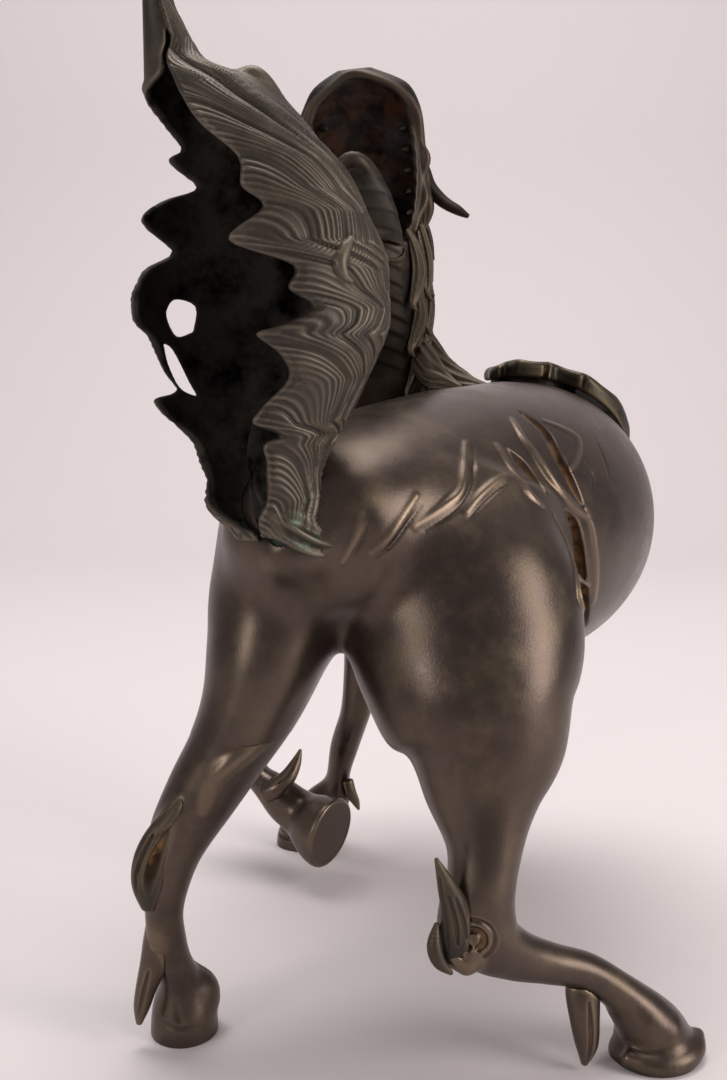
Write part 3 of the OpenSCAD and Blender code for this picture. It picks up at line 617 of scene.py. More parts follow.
# Each leg: stations, box, ridges and grooves of its hoof as x, y, z, radius
LEGS = {
    "right_hind_leg": dict(
        rows=RIGHT_HIND, low=(-144, 92, -8), high=(28, 205, 158),
        ridges=[([[-98, 154, 25, 7], [-107, 156, 19, 10.5], [-114, 156, 15, 9.5]], 5),
                ([[-98, 165, 6, 3], [-110, 169, 4, 3.2], [-122, 166, 4, 3.4], [-131, 157, 5, 3.6],
                  [-134, 147, 7, 3]], 6)],
        grooves=[[[-92, 160, 16, 0.4], [-97, 167, 13, 1.0], [-106, 171, 10.5, 1.1], [-117, 171, 10, 1.1],
                  [-127, 164, 11, 1.2], [-132, 153, 13, 1.2], [-131, 144, 16, 0.9], [-127, 134, 18, 0.4]],
                 [[-92, 163, 26, 0.8], [-94, 167, 21, 2.2], [-97, 169, 17, 1.2]]],
        hock=[[[-16, 174, 84, 5], [-18, 180, 75, 8], [-24, 183, 66, 7]],
              [[-14, 185, 74, 4], [-16, 187, 67, 4.5], [-22, 187, 62, 4]]],
        swirl=((4.4, 1.7), (9.0, 0.7))),
    "left_hind_leg": dict(
        rows=LEFT_HIND, low=(42, 88, -8), high=(150, 172, 158),
        ridges=[([[107, 129, 28, 6], [101, 128, 21, 9], [99, 127, 16, 8]], 4)],
        grooves=[[[120, 141, 13, 0.4], [111, 146.5, 10, 1.0], [99, 145, 9, 1.1], [90, 137, 9, 1.1],
                  [87, 126, 12, 0.6]],
                 [[112, 145, 27, 0.8], [110, 146, 20, 2.6], [108, 146, 13, 1.2]],
                 [[108, 158, 113, 0.8], [111, 160, 104, 2.6], [113, 160, 94, 2.8], [115, 158, 84, 0.8]]],
        hock=[[[104, 150, 122, 3], [112, 152, 108, 5], [116, 152, 92, 4]],
              [[113, 144, 76, 3], [115, 145, 64, 5], [117, 146, 52, 4.5]],
              [[66, 150, 152, 1.5], [74, 154, 147, 3], [82, 156, 141, 3.4], [89, 155, 133, 3],
               [94, 154, 120, 1.5]]]),
    "right_foreleg": dict(
        rows=RIGHT_FORE, low=(-12, -130, -8), high=(96, -52, 158),
        ridges=[([[40, -94, 40, 9], [48, -96, 30, 12], [55, -97, 22, 12]], 5)],
        grooves=[[[42, -92, 14, 0.5], [50, -86, 10, 1.1], [62, -86, 8, 1.2], [74, -92, 8, 1.2],
                 [79, -102, 9, 0.6]]],
        hock=[]),
    "left_foreleg": dict(
        rows=LEFT_FORE, low=(18, -128, 4), high=(136, -4, 158),
        ridges=[([[78, -52, 56, 8], [70, -50, 48, 12], [63, -47, 43, 12]], 5)],
        grooves=[],
        hock=[]),
}
# Middle of the curl of hair on the right hock
SWIRL_AT = (-25.0, 75.0)
SWIRL_FROM_Y = 195
# The sole of the raised hoof: its middle, the way it faces, and the dish inside the wall of the hoof
SOLE_DEPTH = 0.45
SOLE_AT = (41, -32, 34)
SOLE_OUT = (-0.78, 0.59, -0.2)
SOLE_DISH = [[45, -35, 35, 17, 19.5], [40.2, -31.4, 33.8, 17, 19.5], [36, -28, 33, 17, 19.5]]


def leg_form(block, spec):
    field = torso(block, (spec["rows"],), neck=False)
    for rows, soft in spec["ridges"]:
        block.raise_bead(field, rows, soft)
    return field


def build_leg(name, spec):
    block = Block(spec["low"], spec["high"], 0.75)
    field = leg_form(block, spec)
    plain = field.copy()
    for rows in spec["grooves"]:
        block.cut_bead(field, rows, 1.0)
    for rows in spec["hock"]:
        block.raise_bead(field, rows, 4.0)
    for radius, depth in spec.get("swirl", ()):
        turns = np.radians(np.arange(-150, 151, 20))
        ring = [
            [SWIRL_AT[0] + radius * math.sin(t), SWIRL_FROM_Y, SWIRL_AT[1] + radius * math.cos(t), depth, 0]
            for t in turns
        ]
        block.cut_bead(field, block.lay(field, ring, (0, -1, 0)), 0.8)
    cuts = [(LEG_JOINT_Z, False)]
    if name != "left_foreleg":
        cuts.append((0.0, True))
    else:
        # The raised hoof shows its sole: a shallow dish inside the wall of the hoof
        dish = block.form(tube(SOLE_DISH))
        x, y, z = SOLE_AT
        out_x, out_y, out_z = SOLE_OUT
        heart = (block.x - x) * out_x + (block.y - y) * out_y + (block.z - z) * out_z
        field = carve(field, np.maximum(dish, -(heart + SOLE_DEPTH)), 1.0)
    cast(name, block, field.astype(np.float32), plain, [name], SMOOTH, cuts=cuts)


build_body()
for leg_name, leg_spec in LEGS.items():
    build_leg(leg_name, leg_spec)


# ---------------------------------------------------------------- neck and mane

PLATE_PITCH = 9.0
PLATE_RISE = 0.6
PLATE_HALF_TURN = 55.0


def neck_middle(z):
    """Middle x and y, half-depth and half-width of the neck at height z."""
    rows = np.array(NECK, float)
    return [np.interp(z, rows[:, 2], rows[:, k]) for k in (0, 1, 3, 4)]


def build_neck():
    """The neck, with broad plates down the throat."""
    block = Block((-24, -130, 300), (80, 18, 386), 0.9)
    plain = torso(block, limbs=())
    x, y = neck_middle(block.z)[:2]
    turn = np.degrees(np.arctan2(x - block.x, block.y - y))
    front = np.clip((PLATE_HALF_TURN - np.abs(turn)) / 14, 0, 1)
    step = ((block.z + 0.003 * turn**2) / PLATE_PITCH) % 1.0
    field = plain - PLATE_RISE * front * np.minimum(1 - step, 6 * step)
    field = np.maximum(field, block.z - NECK_TOP_Z)
    field = np.maximum(field, 0.1 - block.form(tube(SKULL, ACROSS, 60)))
    cuts = [(NECK_JOINT_Z, True)]
    cast("neck", block, field.astype(np.float32), plain, ["neck"], NECK_BRONZE, cuts=cuts)


def neck_rim(z, turn, out):
    """A point out from the neck's surface: a turn of 90 is on its right and 180 behind it."""
    x, y, depth, width = neck_middle(z)
    a = math.radians(turn)
    return [float(x - (width + out) * math.sin(a)), float(y + (depth + out) * math.cos(a)), z]


def lock(z, turn, fall, size, sway):
    """One lock: it leaves the neck, swells, sways and flicks out at its tip."""
    return [
        neck_rim(z + 8, turn, -2) + [2, 2],
        neck_rim(z, turn + sway, 0.5) + [3.4 * size, 4.4 * size],
        neck_rim(z - 0.35 * fall, turn + 1.6 * sway, 1.6) + [4.4 * size, 6.2 * size],
        neck_rim(z - 0.68 * fall, turn, 2.4) + [3.8 * size, 4.8 * size],
        neck_rim(z - 0.88 * fall, turn - 1.6 * sway, 4.2) + [2.2 * size, 2.6 * size],
        neck_rim(z - fall, turn - 1.2 * sway, 6.5) + [0.5, 0.5],
    ]


FOOT_LOCKS = [
    [[-8, -50, 338, 4, 5], [-14, -43, 322, 6.5, 8], [-23, -36, 309, 6, 8], [-35, -26, 302, 5, 7],
     [-49, -17, 301, 1, 1.5]],
    [[-6, -40, 330, 4, 5], [-12, -33, 316, 6, 8], [-20, -25, 305, 5.5, 7], [-32, -14, 301, 1, 1.5]],
]
LOCK_ROWS = 8
LOCK_TOP_Z = 386.0
LOCK_PITCH = 12.5
# The layers of locks: turn against the first as a share of the lean, drop, size and fall
LOCK_LAYERS = [(0, 0, 1.0, 38), (0.5, 5, 0.72, 30), (-1.0, 8, 0.85, 36)]


def build_mane(name, turn, lean, sway, extra=()):
    tubes = []
    for i in range(LOCK_ROWS):
        z = LOCK_TOP_Z - LOCK_PITCH * i
        side = turn + lean * (i % 2)
        for shift, drop, size, fall in LOCK_LAYERS:
            a = math.radians(side + shift * lean)
            rows = lock(z - drop, side + shift * lean, fall, size, sway)
            tubes.append(tube(rows, (-math.sin(a), math.cos(a), 0.1), 40, 5, flutes=8, depth=0.2))
    for rows in extra:
        tubes.append(tube(rows, (1, 0, 1), 36, 5, flutes=9, depth=0.12))
    every = np.vstack([t[0] for t in tubes])
    block = Block(every.min(0) - 2, every.max(0) + 2, 0.7)
    field = np.full(block.count, 4.0, np.float32)
    for t in tubes:
        field = blend(field, block.form(t, 4.0), 1.0)
    plain = field + 1.2
    field = np.maximum(field, 0.1 - torso(block, limbs=()))
    field = np.maximum(field, 0.1 - block.form(tube(SKULL, ACROSS, 60)))
    cast(name, block, field.astype(np.float32), plain, [name], HAIR)


# ---------------------------------------------------------------- head

SKULL = [
    [22, -27, 376, 24, 31], [22, -29, 392, 26, 34], [22, -29, 412, 24, 35.5], [23, -27, 432, 20, 35],
    [24, -23, 449, 15, 33], [26, -20, 462, 9, 25], [27, -18, 470.5, 2, 9],
]
PALATE = [
    [22, -6, 380, 14, 24], [22, -7, 396, 19, 29], [22, -8, 416, 19, 31], [23, -9, 434, 17, 30],
    [24, -9, 450, 14, 27], [26, -9, 461, 8, 18], [27, -9, 467, 2, 5],
]
JAW = [
    [23, -10, 368, 7, 24], [24, -3, 380, 8, 23], [25, 5, 394, 8, 20], [27, 11, 408, 7, 15],
    [28, 14, 418, 4, 9], [29, 15, 423, 1, 3],
]
JAW_TROUGH = [
    [24, -9, 379, 7, 18], [25, -2, 393, 7, 16], [27, 5, 407, 6, 11], [28, 9, 418, 5, 7], [28, 11, 428, 5, 6],
]
TONGUE = [
    [23, -14, 386, 3, 9], [24, -7, 397, 3, 9], [26, -1, 409, 2.6, 8], [27, 3, 419, 1.6, 5],
    [27, 4, 424, 0.5, 1.5],
]
HORN = [
    [-5, -34, 431, 4, 3.5], [-10.5, -32, 420, 5, 4.2], [-14.5, -29, 410, 4.8, 4], [-22, -26, 402, 4, 3.4],
    [-30, -23, 397, 3, 2.7], [-35.5, -21, 393.7, 1.2, 1.2],
]
EAR = [
    [-4, -40, 400, 5, 4], [-11, -45, 391, 6.5, 3], [-15, -49, 382, 5, 2.4], [-18, -52, 372, 1, 0.8],
]
EYE_AT = np.array([-2.0, -48.0, 417.0])
EYE_R = 5.0
EYE_OUT = np.array([-0.75, -0.66, 0.0])
# Beads of the upper head: x, y, z, radius
BRIDGE = [[23, -52, 416, 3], [24, -46, 434, 4], [25, -37, 450, 4.4], [26, -29, 461, 3.6]]
BROW = [[12, -54, 424, 1.5], [2, -54, 428, 3], [-7, -48, 428, 3.2], [-13, -36, 424, 1.2]]
NOSE_WING = [[14, -34, 452, 1], [17, -31, 459, 3.2], [20, -27, 463, 3]]
CHEEK = [[-12, -26, 388, 1], [-14, -26, 398, 3], [-12, -24, 408, 3], [-13, -22, 416, 1]]
NOSTRIL = [[16, -37, 463, 1.7], [18, -30, 460, 1.6]]
GUM = [[-3, -20, 446, 0.8], [-6, -22, 432, 2], [-7, -23, 412, 2.2], [-4, -22, 394, 1]]


def both_sides(rows):
    return [rows, mirrored(rows)]


def hoop(middle, out, radius, thick, start=0, end=360, flat=1.0):
    """Rows of a round bead about middle, in the plane square to out."""
    out = unit(np.array(out, float))
    side = unit(np.cross(out, UP))
    rise = np.cross(side, out)
    turns = np.radians(np.linspace(start, end, 13))
    return [list(middle + radius * (math.cos(t) * side + flat * math.sin(t) * rise)) + [thick] for t in turns]


def lip_rows():
    """The rolled lip, from the right corner of the mouth over the muzzle to the left corner."""
    right = [[-6, -14, 386, 1], [-8, -17, 394, 1.8], [-11.5, -19, 403, 2.4], [-10, -20, 414, 1.8],
             [-12, -19, 424, 2.6],
             [-9, -19, 433, 1.8], [-6.5, -16, 448, 2.4], [5, -15, 460, 1.8]]
    return right + [[27, -15, 467.5, 2.2]] + [list(row) for row in mirrored(right)[::-1]]


def build_skull():
    """The upper head: brows, bridge of the nose, nostrils, rolled lip and a ribbed palate."""
    block = Block((-24, -64, 366), (68, 14, 478), 0.7)
    field = block.form(tube(SKULL, ACROSS, 60))
    plain = field.copy()
    block.raise_bead(field, BRIDGE, 5)
    for bead, soft in ((BROW, 3), (NOSE_WING, 3), (CHEEK, 2)):
        for rows in both_sides(bead):
            block.raise_bead(field, rows, soft)
    far_eye = mirrored([list(EYE_AT)])[0]
    for middle, out in ((EYE_AT, EYE_OUT), (far_eye, EYE_OUT * np.array([-1, 1, 1]))):
        near = np.sqrt((block.x - middle[0])**2 + (block.y - middle[1])**2 + (block.z - middle[2])**2)
        field = np.maximum(field, EYE_R + 0.1 - near).astype(np.float32)
        block.raise_bead(field, hoop(middle + 2.2 * out, out, 4.9, 1.2), 0.8)
        field = np.maximum(field, EYE_R + 0.1 - near).astype(np.float32)
    for rows in both_sides(NOSTRIL):
        block.cut_bead(field, rows, 1.0)
    palate = block.form(tube(PALATE, ACROSS, 60))
    ribs = np.abs(np.sin(math.pi * (block.z + 0.012 * (block.x - HEAD_MID_X)**2) / 7.5))
    field = carve(field, palate + 0.6 * ribs, 1.5).astype(np.float32)
    block.raise_bead(field, lip_rows(), 2.0)
    for rows in both_sides(GUM):
        block.raise_bead(field, rows, 2)
    lowered = [[x, y, z - 18, a, b] for x, y, z, a, b in NECK]
    field = np.maximum(field, -block.form(tube(lowered, grow=-WALL)))
    cast("skull", block, field.astype(np.float32), plain, ["skull"], DARK)


CHIN_LUMPS = [
    [[14, 3, 396, 1], [16, 9, 402, 2.4], [20, 13, 405, 1]], [[38, 5, 396, 1], [36, 11, 401, 2.6],
     [33, 14, 405, 1]],
    [[22, 9, 395, 1], [27, 13, 399, 2.2], [31, 11, 394, 1]], [[13, -2, 385, 1], [19, 2, 388, 2.4],
     [24, 1, 384, 1]],
    [[30, 3, 388, 1], [35, 2, 385, 2.4], [40, -2, 386, 1]],
]


# The jaw's front lobe and the notch in it, the bead that overhangs the throat and the cut under the bead
LOBE = [[17, 12, 408, 1], [21, 17.5, 415, 3], [28, 20, 419, 3.8], [35, 17.5, 414, 3], [38, 12, 406, 1]]
LOBE_NOTCH = [[22, 19, 407, 1], [28, 22, 410, 2.6], [34, 19, 406, 1]]
LOW_BEAD = [[6, -5, 385, 2], [12, 2, 384, 3.6], [24, 6, 383, 4.2], [36, 2, 384, 3.6], [42, -5, 385, 2]]
LOW_CUT = [[4, -6, 375, 4], [12, 2, 374, 5.5], [24, 6, 373, 6.5], [36, 2, 374, 5.5], [44, -6, 375, 4]]
JAW_LIP = [[4, -4, 384, 1.2], [6, 1, 393, 1.8], [12, 8, 406, 2], [19, 13, 417, 2]]
JAW_LIP_TOP = [28, 15, 420, 2]
JAW_MID_X = 27


def build_jaw():
    """The lower jaw: a trough with a rolled lip and overlapping chin plates."""
    block = Block((-12, -26, 358), (60, 30, 430), 0.6)
    field = block.form(tube(JAW, ACROSS, 60))
    plain = field.copy()
    step = ((block.z - 0.25 * (block.y - 5)) / 8.0) % 1.0
    field = (field - 0.45 * np.minimum(1 - step, 4 * step)).astype(np.float32)
    field = carve(field, block.form(tube(JAW_TROUGH, ACROSS, 48)), 1.2).astype(np.float32)
    block.raise_bead(field, LOBE, 2.5)
    block.cut_bead(field, LOBE_NOTCH, 1.5)
    for rows in CHIN_LUMPS:
        block.raise_bead(field, rows, 3.0)
    block.raise_bead(field, LOW_BEAD, 2.0)
    block.cut_bead(field, LOW_CUT, 1.0)
    left_lip = [[2 * JAW_MID_X - x, y, z, r] for x, y, z, r in JAW_LIP]
    block.raise_bead(field, JAW_LIP + [JAW_LIP_TOP] + left_lip[::-1], 1.5)
    field = np.maximum(field, 0.1 - block.form(tube(SKULL, ACROSS, 60)))
    field = np.maximum(field, 0.1 - block.form(tube(NECK)))
    cast("lower_jaw", block, field.astype(np.float32), plain, ["lower_jaw"], THROAT_SHADE)


def joined(tubes):
    """Several closed tubes that stand clear of each other, as one mesh."""
    points, triangles, quads, count = [], [], [], 0
    for p, t, q in tubes:
        points.append(p)
        triangles.append(t + count)
        quads.append(q + count)
        count += len(p)
    return np.vstack(points), np.vstack(triangles), np.vstack(quads)


def simple(name, tubes, material):
    mesh = mesh_of(name, *joined(tubes))
    bm = bmesh.new()
    bm.from_mesh(mesh)
    bmesh.ops.recalc_face_normals(bm, faces=bm.faces[:])
    bm.to_mesh(mesh)
    bm.free()
    mesh.shade_smooth()
    return piece(name, mesh, [name], material)


def fang(at, aim, length, thick):
    """A tooth that curves to a point."""
    at, aim = np.array(at, float), unit(np.array(aim, float))
    bend = np.array([0, 0, -0.12 * length])
    return [
        list(at) + [thick, thick],
        list(at + 0.4 * length * aim + 0.3 * bend) + [0.8 * thick, 0.8 * thick],
        list(at + 0.8 * length * aim + bend) + [0.4 * thick, 0.4 * thick],
        list(at + length * aim + 1.6 * bend) + [0.3, 0.3],
    ]


def build_head_trim():
    upper = []
    for i in range(5):
        for side in (-1, 1):
            at = (HEAD_MID_X + side * (27 - 1.2 * i), -20, 396 + 11 * i)
            upper.append(tube(fang(at, (-0.35 * side, 1, 0), 8 if i else 11, 2.2), UP, 16, 5))
    simple("upper_teeth", upper, THROAT_SHADE)
    lower = []
    for side in (-1, 1):
        lower.append(tube(fang((25.5 + side * 17, 3, 392), (-0.2 * side, -0.7, 0.7), 7, 1.9), UP, 16, 5))
        lower.append(tube(fang((26.5 + side * 12, 9, 405), (-0.2 * side, -0.7, 0.7), 7, 1.9), UP, 16, 5))
    simple("lower_teeth", lower, BRIGHT)
    simple("tongue", [tube(TONGUE, ACROSS, 32, 6, flutes=2, depth=-0.12)], DARK)
    simple("right_horn", [tube(HORN, ACROSS, 32, 8, flutes=6, depth=0.05)], DARK)
    simple("left_horn", [tube(mirrored(HORN), ACROSS, 32, 8, flutes=6, depth=0.05)], DARK)
    simple("right_ear", [tube(EAR, (0, 1, 0.3), 36, 8, flutes=5, depth=0.10)], HAIR)
    simple("left_ear", [tube(mirrored(EAR), (0, 1, 0.3), 36, 8, flutes=5, depth=0.10)], HAIR)


# ---------------------------------------------------------------- tail

# Height, left side x, right side x, middle y, half-depth
TAIL = [
    [246, 74, 44, 165, 8], [256, 86, 42, 163, 14], [275, 99, 41, 159, 20], [300, 112, 27, 154, 28],
    [333, 121, 12, 150, 36], [362, 119, 13, 148, 38], [394, 115, 28, 147, 34], [420, 113, 48, 147, 26],
    [436, 113, 65, 147, 18], [439, 113, 86, 147, 13], [452, 113, 94, 147, 9], [466, 113, 101, 147, 6],
]
# Height and degrees round the section of the flame edges beside the slit
NEAR_EDGE = [
    [246, -20], [254, -8], [262, 10], [276, 16], [285, 12], [289, 22], [294, 4], [300, 8], [312, 20],
    [322, 14],
    [330, 2], [334, 14], [341, 27], [348, 16], [357, 18], [367, -10], [380, 9], [388, 0], [400, 2],
    [413, -15],
    [424, -24], [436, -25], [443, -7], [450, 13], [466, 15],
]
FAR_EDGE = [
    [244, 328], [250, 316], [256, 286], [262, 254], [270, 236], [283, 232], [293, 250], [302, 262],
    [305, 234], [314, 240], [328, 248],
    [336, 264], [346, 270], [357, 254], [366, 230], [378, 262], [387, 240], [394, 214], [404, 234],
    [410, 222],
    [421, 242], [427, 266], [431, 302], [436, 326], [443, 344], [450, 363], [466, 366],
]
TAIL_WALL = 2.8
TAIL_ROOT = [
    [50, 146, 250, 12, 14], [54, 152, 262, 12, 15], [58, 156, 274, 11, 14], [62, 158, 286, 8, 10],
    [65, 158, 295, 2, 4],
]
# The foot of the tail that is soldered over the end of the rump
TAIL_FOOT = [
    [64, 158, 274, 6, 6], [60, 162, 262, 9, 11], [55, 164, 251, 10, 13], [47, 162, 243, 9, 12],
    [37, 156, 239, 6, 8],
    [29, 150, 238, 1.5, 2],
]
UNROLL_R = 45.0
# Degrees round the section at which the count of degrees begins, inside the slit
FIRST_TURN = -28
# Where the strands of the near side meet those of the far side, and the heights of the unrolled outline
SPINE_TURN = 128.0
FLAT_LOW_Z = 236
FLAT_HIGH_Z = 478
BLADE_LOW_Z = 438.0
BLADE_TWIST = 40.0
FUR_PITCH = 2.9
FUR_RISE = 0.36
FUR_HEAP = 1.7
FUR_LEVEL_TURN = 62.0
FUR_SLOPE = 1.7
# Heights at which one bundle of fur gives way to the next, along the near edge and along the far edge
NEAR_BUNDLES = [236, 262, 284, 301, 327, 345, 363, 382, 400, 423, 445, 480]
FAR_BUNDLES = [236, 268, 292, 306, 330, 352, 372, 392, 408, 430, 450, 480]
TAIL_HOLES = [
    [[98, 331], [97, 342], [106, 345], [109, 338], [105, 329]],
    [[110, 326], [106, 323], [99, 309], [96, 303], [103, 307], [108, 317]],
]
# A swelling of the edge at the foot of the blade: x, y, z, radius
TAIL_HOOK = [[76, 152, 432, 1.5], [72, 152, 434.5, 3], [67, 152, 435, 4], [61, 151, 430, 3.5],
             [54, 150, 421, 1]]
# Small curls that stand up from the fur: x, y, z, radius, lift
TAIL_CURL = [[27, 190, 368, 1, 0], [30, 190, 363, 2.6, 0.4], [31.5, 190, 358, 3, 0.6],
             [30, 190, 353, 2, 0.6],
             [27, 190, 351, 0.6, 0.8]]


def smoothed(rows, column, z, width=3.0):
    """One column of a table by height, as a smooth function of z."""
    rows = np.array(rows, float)
    fine = np.arange(rows[0, 0] - 12, rows[-1, 0] + 12, 0.5)
    values = np.interp(fine, rows[:, 0], rows[:, column])
    reach = np.arange(-3 * width, 3 * width + 0.5, 0.5)
    weight = np.exp(-0.5 * (reach / width)**2)
    padded = np.pad(values, len(reach) // 2, mode="edge")
    return np.interp(z, fine, np.convolve(padded, weight / weight.sum(), mode="valid"))


def outline_distance(points, a, b):
    """Distance from each place (a, b) to a closed outline, negative inside."""
    points = np.array(points, float)
    best = np.full(np.broadcast(a, b).shape, 1e9)
    inside = np.zeros(best.shape, bool)
    for p, q in zip(points, np.roll(points, -1, axis=0)):
        d = q - p
        t = np.clip(((a - p[0]) * d[0] + (b - p[1]) * d[1]) / max(d @ d, 1e-9), 0, 1)
        best = np.minimum(best, np.hypot(a - p[0] - t * d[0], b - p[1] - t * d[1]))
        crosses = (p[1] > b) != (q[1] > b)
        inside ^= crosses & (a < p[0] + (b - p[1]) * d[0] / (d[1] if d[1] else 1e-9))
    return np.where(inside, -best, best)


def fur(turn, z, edge, bundles, away):
    """Bundles and strands of fur on one side of the tail: level at the flame edge, then falling."""
    arc = np.maximum(away * (turn - edge), 0)
    level = math.radians(FUR_LEVEL_TURN) * UNROLL_R
    run = np.radians(arc) * UNROLL_R
    fall = FUR_SLOPE * np.where(run < level, run**2 / (2 * level), run - level / 2)
    stream = z + fall
    place = np.searchsorted(bundles, np.clip(stream, bundles[0], bundles[-1] - 0.01), side="right") - 1
    place = np.clip(place, 0, len(bundles) - 2)
    low = np.array(bundles, float)[place]
    high = np.array(bundles, float)[place + 1]
    share = np.clip((stream - low) / (high - low), 0, 1)
    heap = 1 - np.abs(2 * share - 1)**3
    wave = 0.5 * np.sin(stream / 13.0 + np.radians(arc) * 1.2)
    uneven = 0.62 + 0.38 * np.sin(stream / 2.3 + 1.7 * np.sin(stream / 5.9) + np.radians(arc) * 1.6)
    upward = np.clip((z - 430) / 12, 0, 1)
    phase = (stream + wave) * (1 - upward) + 0.45 * arc * upward
    return FUR_HEAP * heap, FUR_RISE * uneven * np.cos(2 * math.pi * phase / FUR_PITCH)


def build_tail():
    """The hollow fan: a shell with a slit, flame edges, combed fur, a solid root and pierced far wall."""
    block = Block((8, 96, 226), (128, 192, 474), 0.55)
    z = block.z
    left, right, mid_y, deep = (smoothed(TAIL, k, z) for k in (1, 2, 3, 4))
    mid_x, wide = (left + right) / 2, (left - right) / 2
    u = (block.x - mid_x) / wide
    v = (block.y - mid_y) / deep
    g = np.sqrt(u * u + v * v).astype(np.float32)
    steep = np.sqrt(sum(part * part for part in np.gradient(g, block.cell)))
    outer = ((g - 1) / np.maximum(steep, 0.008)).astype(np.float32)
    del g, steep
    turn = np.degrees(np.arctan2(-u, v)).astype(np.float32)
    first_turn = FIRST_TURN + BLADE_TWIST * np.clip((z - BLADE_LOW_Z) / 12, 0, 1)
    turn = np.where(turn < first_turn, turn + 360, turn)
    near = smoothed(NEAR_EDGE, 1, z, 0.8)
    far = smoothed(FAR_EDGE, 1, z, 0.8)
    near_side, far_side = fur(turn, z, near, NEAR_BUNDLES, 1), fur(turn, z, far, FAR_BUNDLES, -1)
    heaps, strands = (np.where(turn < SPINE_TURN, a, b) for a, b in zip(near_side, far_side))
    del near_side, far_side
    across = np.minimum(turn - near, far - turn)
    face = np.clip((turn - 200) / 20, 0, 1) * np.clip((z - 428) / 6, 0, 1)
    fade = np.clip((across + 4) / 10, 0.2, 1) * (1 - face)
    plain = (outer - heaps * fade).astype(np.float32)
    shell = np.maximum(plain - strands * fade, -(outer + TAIL_WALL))
    del heaps, strands
    flat_turn = FIRST_TURN + np.arange(0, 361 + BLADE_TWIST)[:, None]
    flat_z = np.arange(FLAT_LOW_Z, FLAT_HIGH_Z, 1.0)[None, :]
    unroll = math.radians(1) * UNROLL_R
    outline = [(a * unroll, h) for h, a in NEAR_EDGE] + [(a * unroll, h) for h, a in FAR_EDGE[::-1]]
    outline = curve(outline + outline[:1], 5)[:-1]
    flat = outline_distance(outline, flat_turn * unroll, flat_z)
    s = np.clip(turn - FIRST_TURN, 0, len(flat) - 1.01)
    i = s.astype(np.int32)
    k = np.clip((z - FLAT_LOW_Z).astype(np.int32), 0, flat.shape[1] - 2)
    ds, dk = s - i, z - FLAT_LOW_Z - k
    edge = (flat[i, k] * (1 - ds) + flat[i + 1, k] * ds) * (1 - dk)
    edge = edge + (flat[i, k + 1] * (1 - ds) + flat[i + 1, k + 1] * ds) * dk
    field = -blend(-shell, -edge, 1.6)
    field = np.clip(field, -BAND, BAND).astype(np.float32)
    foot = block.form(tube(TAIL_FOOT, UP, 48, 6, flutes=9, depth=0.1))
    root = np.minimum(block.form(tube(TAIL_ROOT)), foot)
    field = blend(field, root, 3.0)
    plain = np.minimum(plain, root)
    for outline in TAIL_HOLES:
        hole = outline_distance(curve(outline + outline[:1], 4)[:-1], block.x, block.z)
        field = carve(field, np.maximum(hole, block.y - 145), 1.0)
    field = field.astype(np.float32)
    block.raise_bead(field, block.lay(plain, TAIL_CURL, (0, -1, 0)), 1.2)
    block.raise_bead(field, TAIL_HOOK, 3.0)
    field = np.maximum(field, 0.1 - block.form(tube(TRUNK, UP, 72)))
    cast("tail", block, field.astype(np.float32), plain, ["tail_shell"], FURRED)


# ---------------------------------------------------------------- hock flames and heel spurs

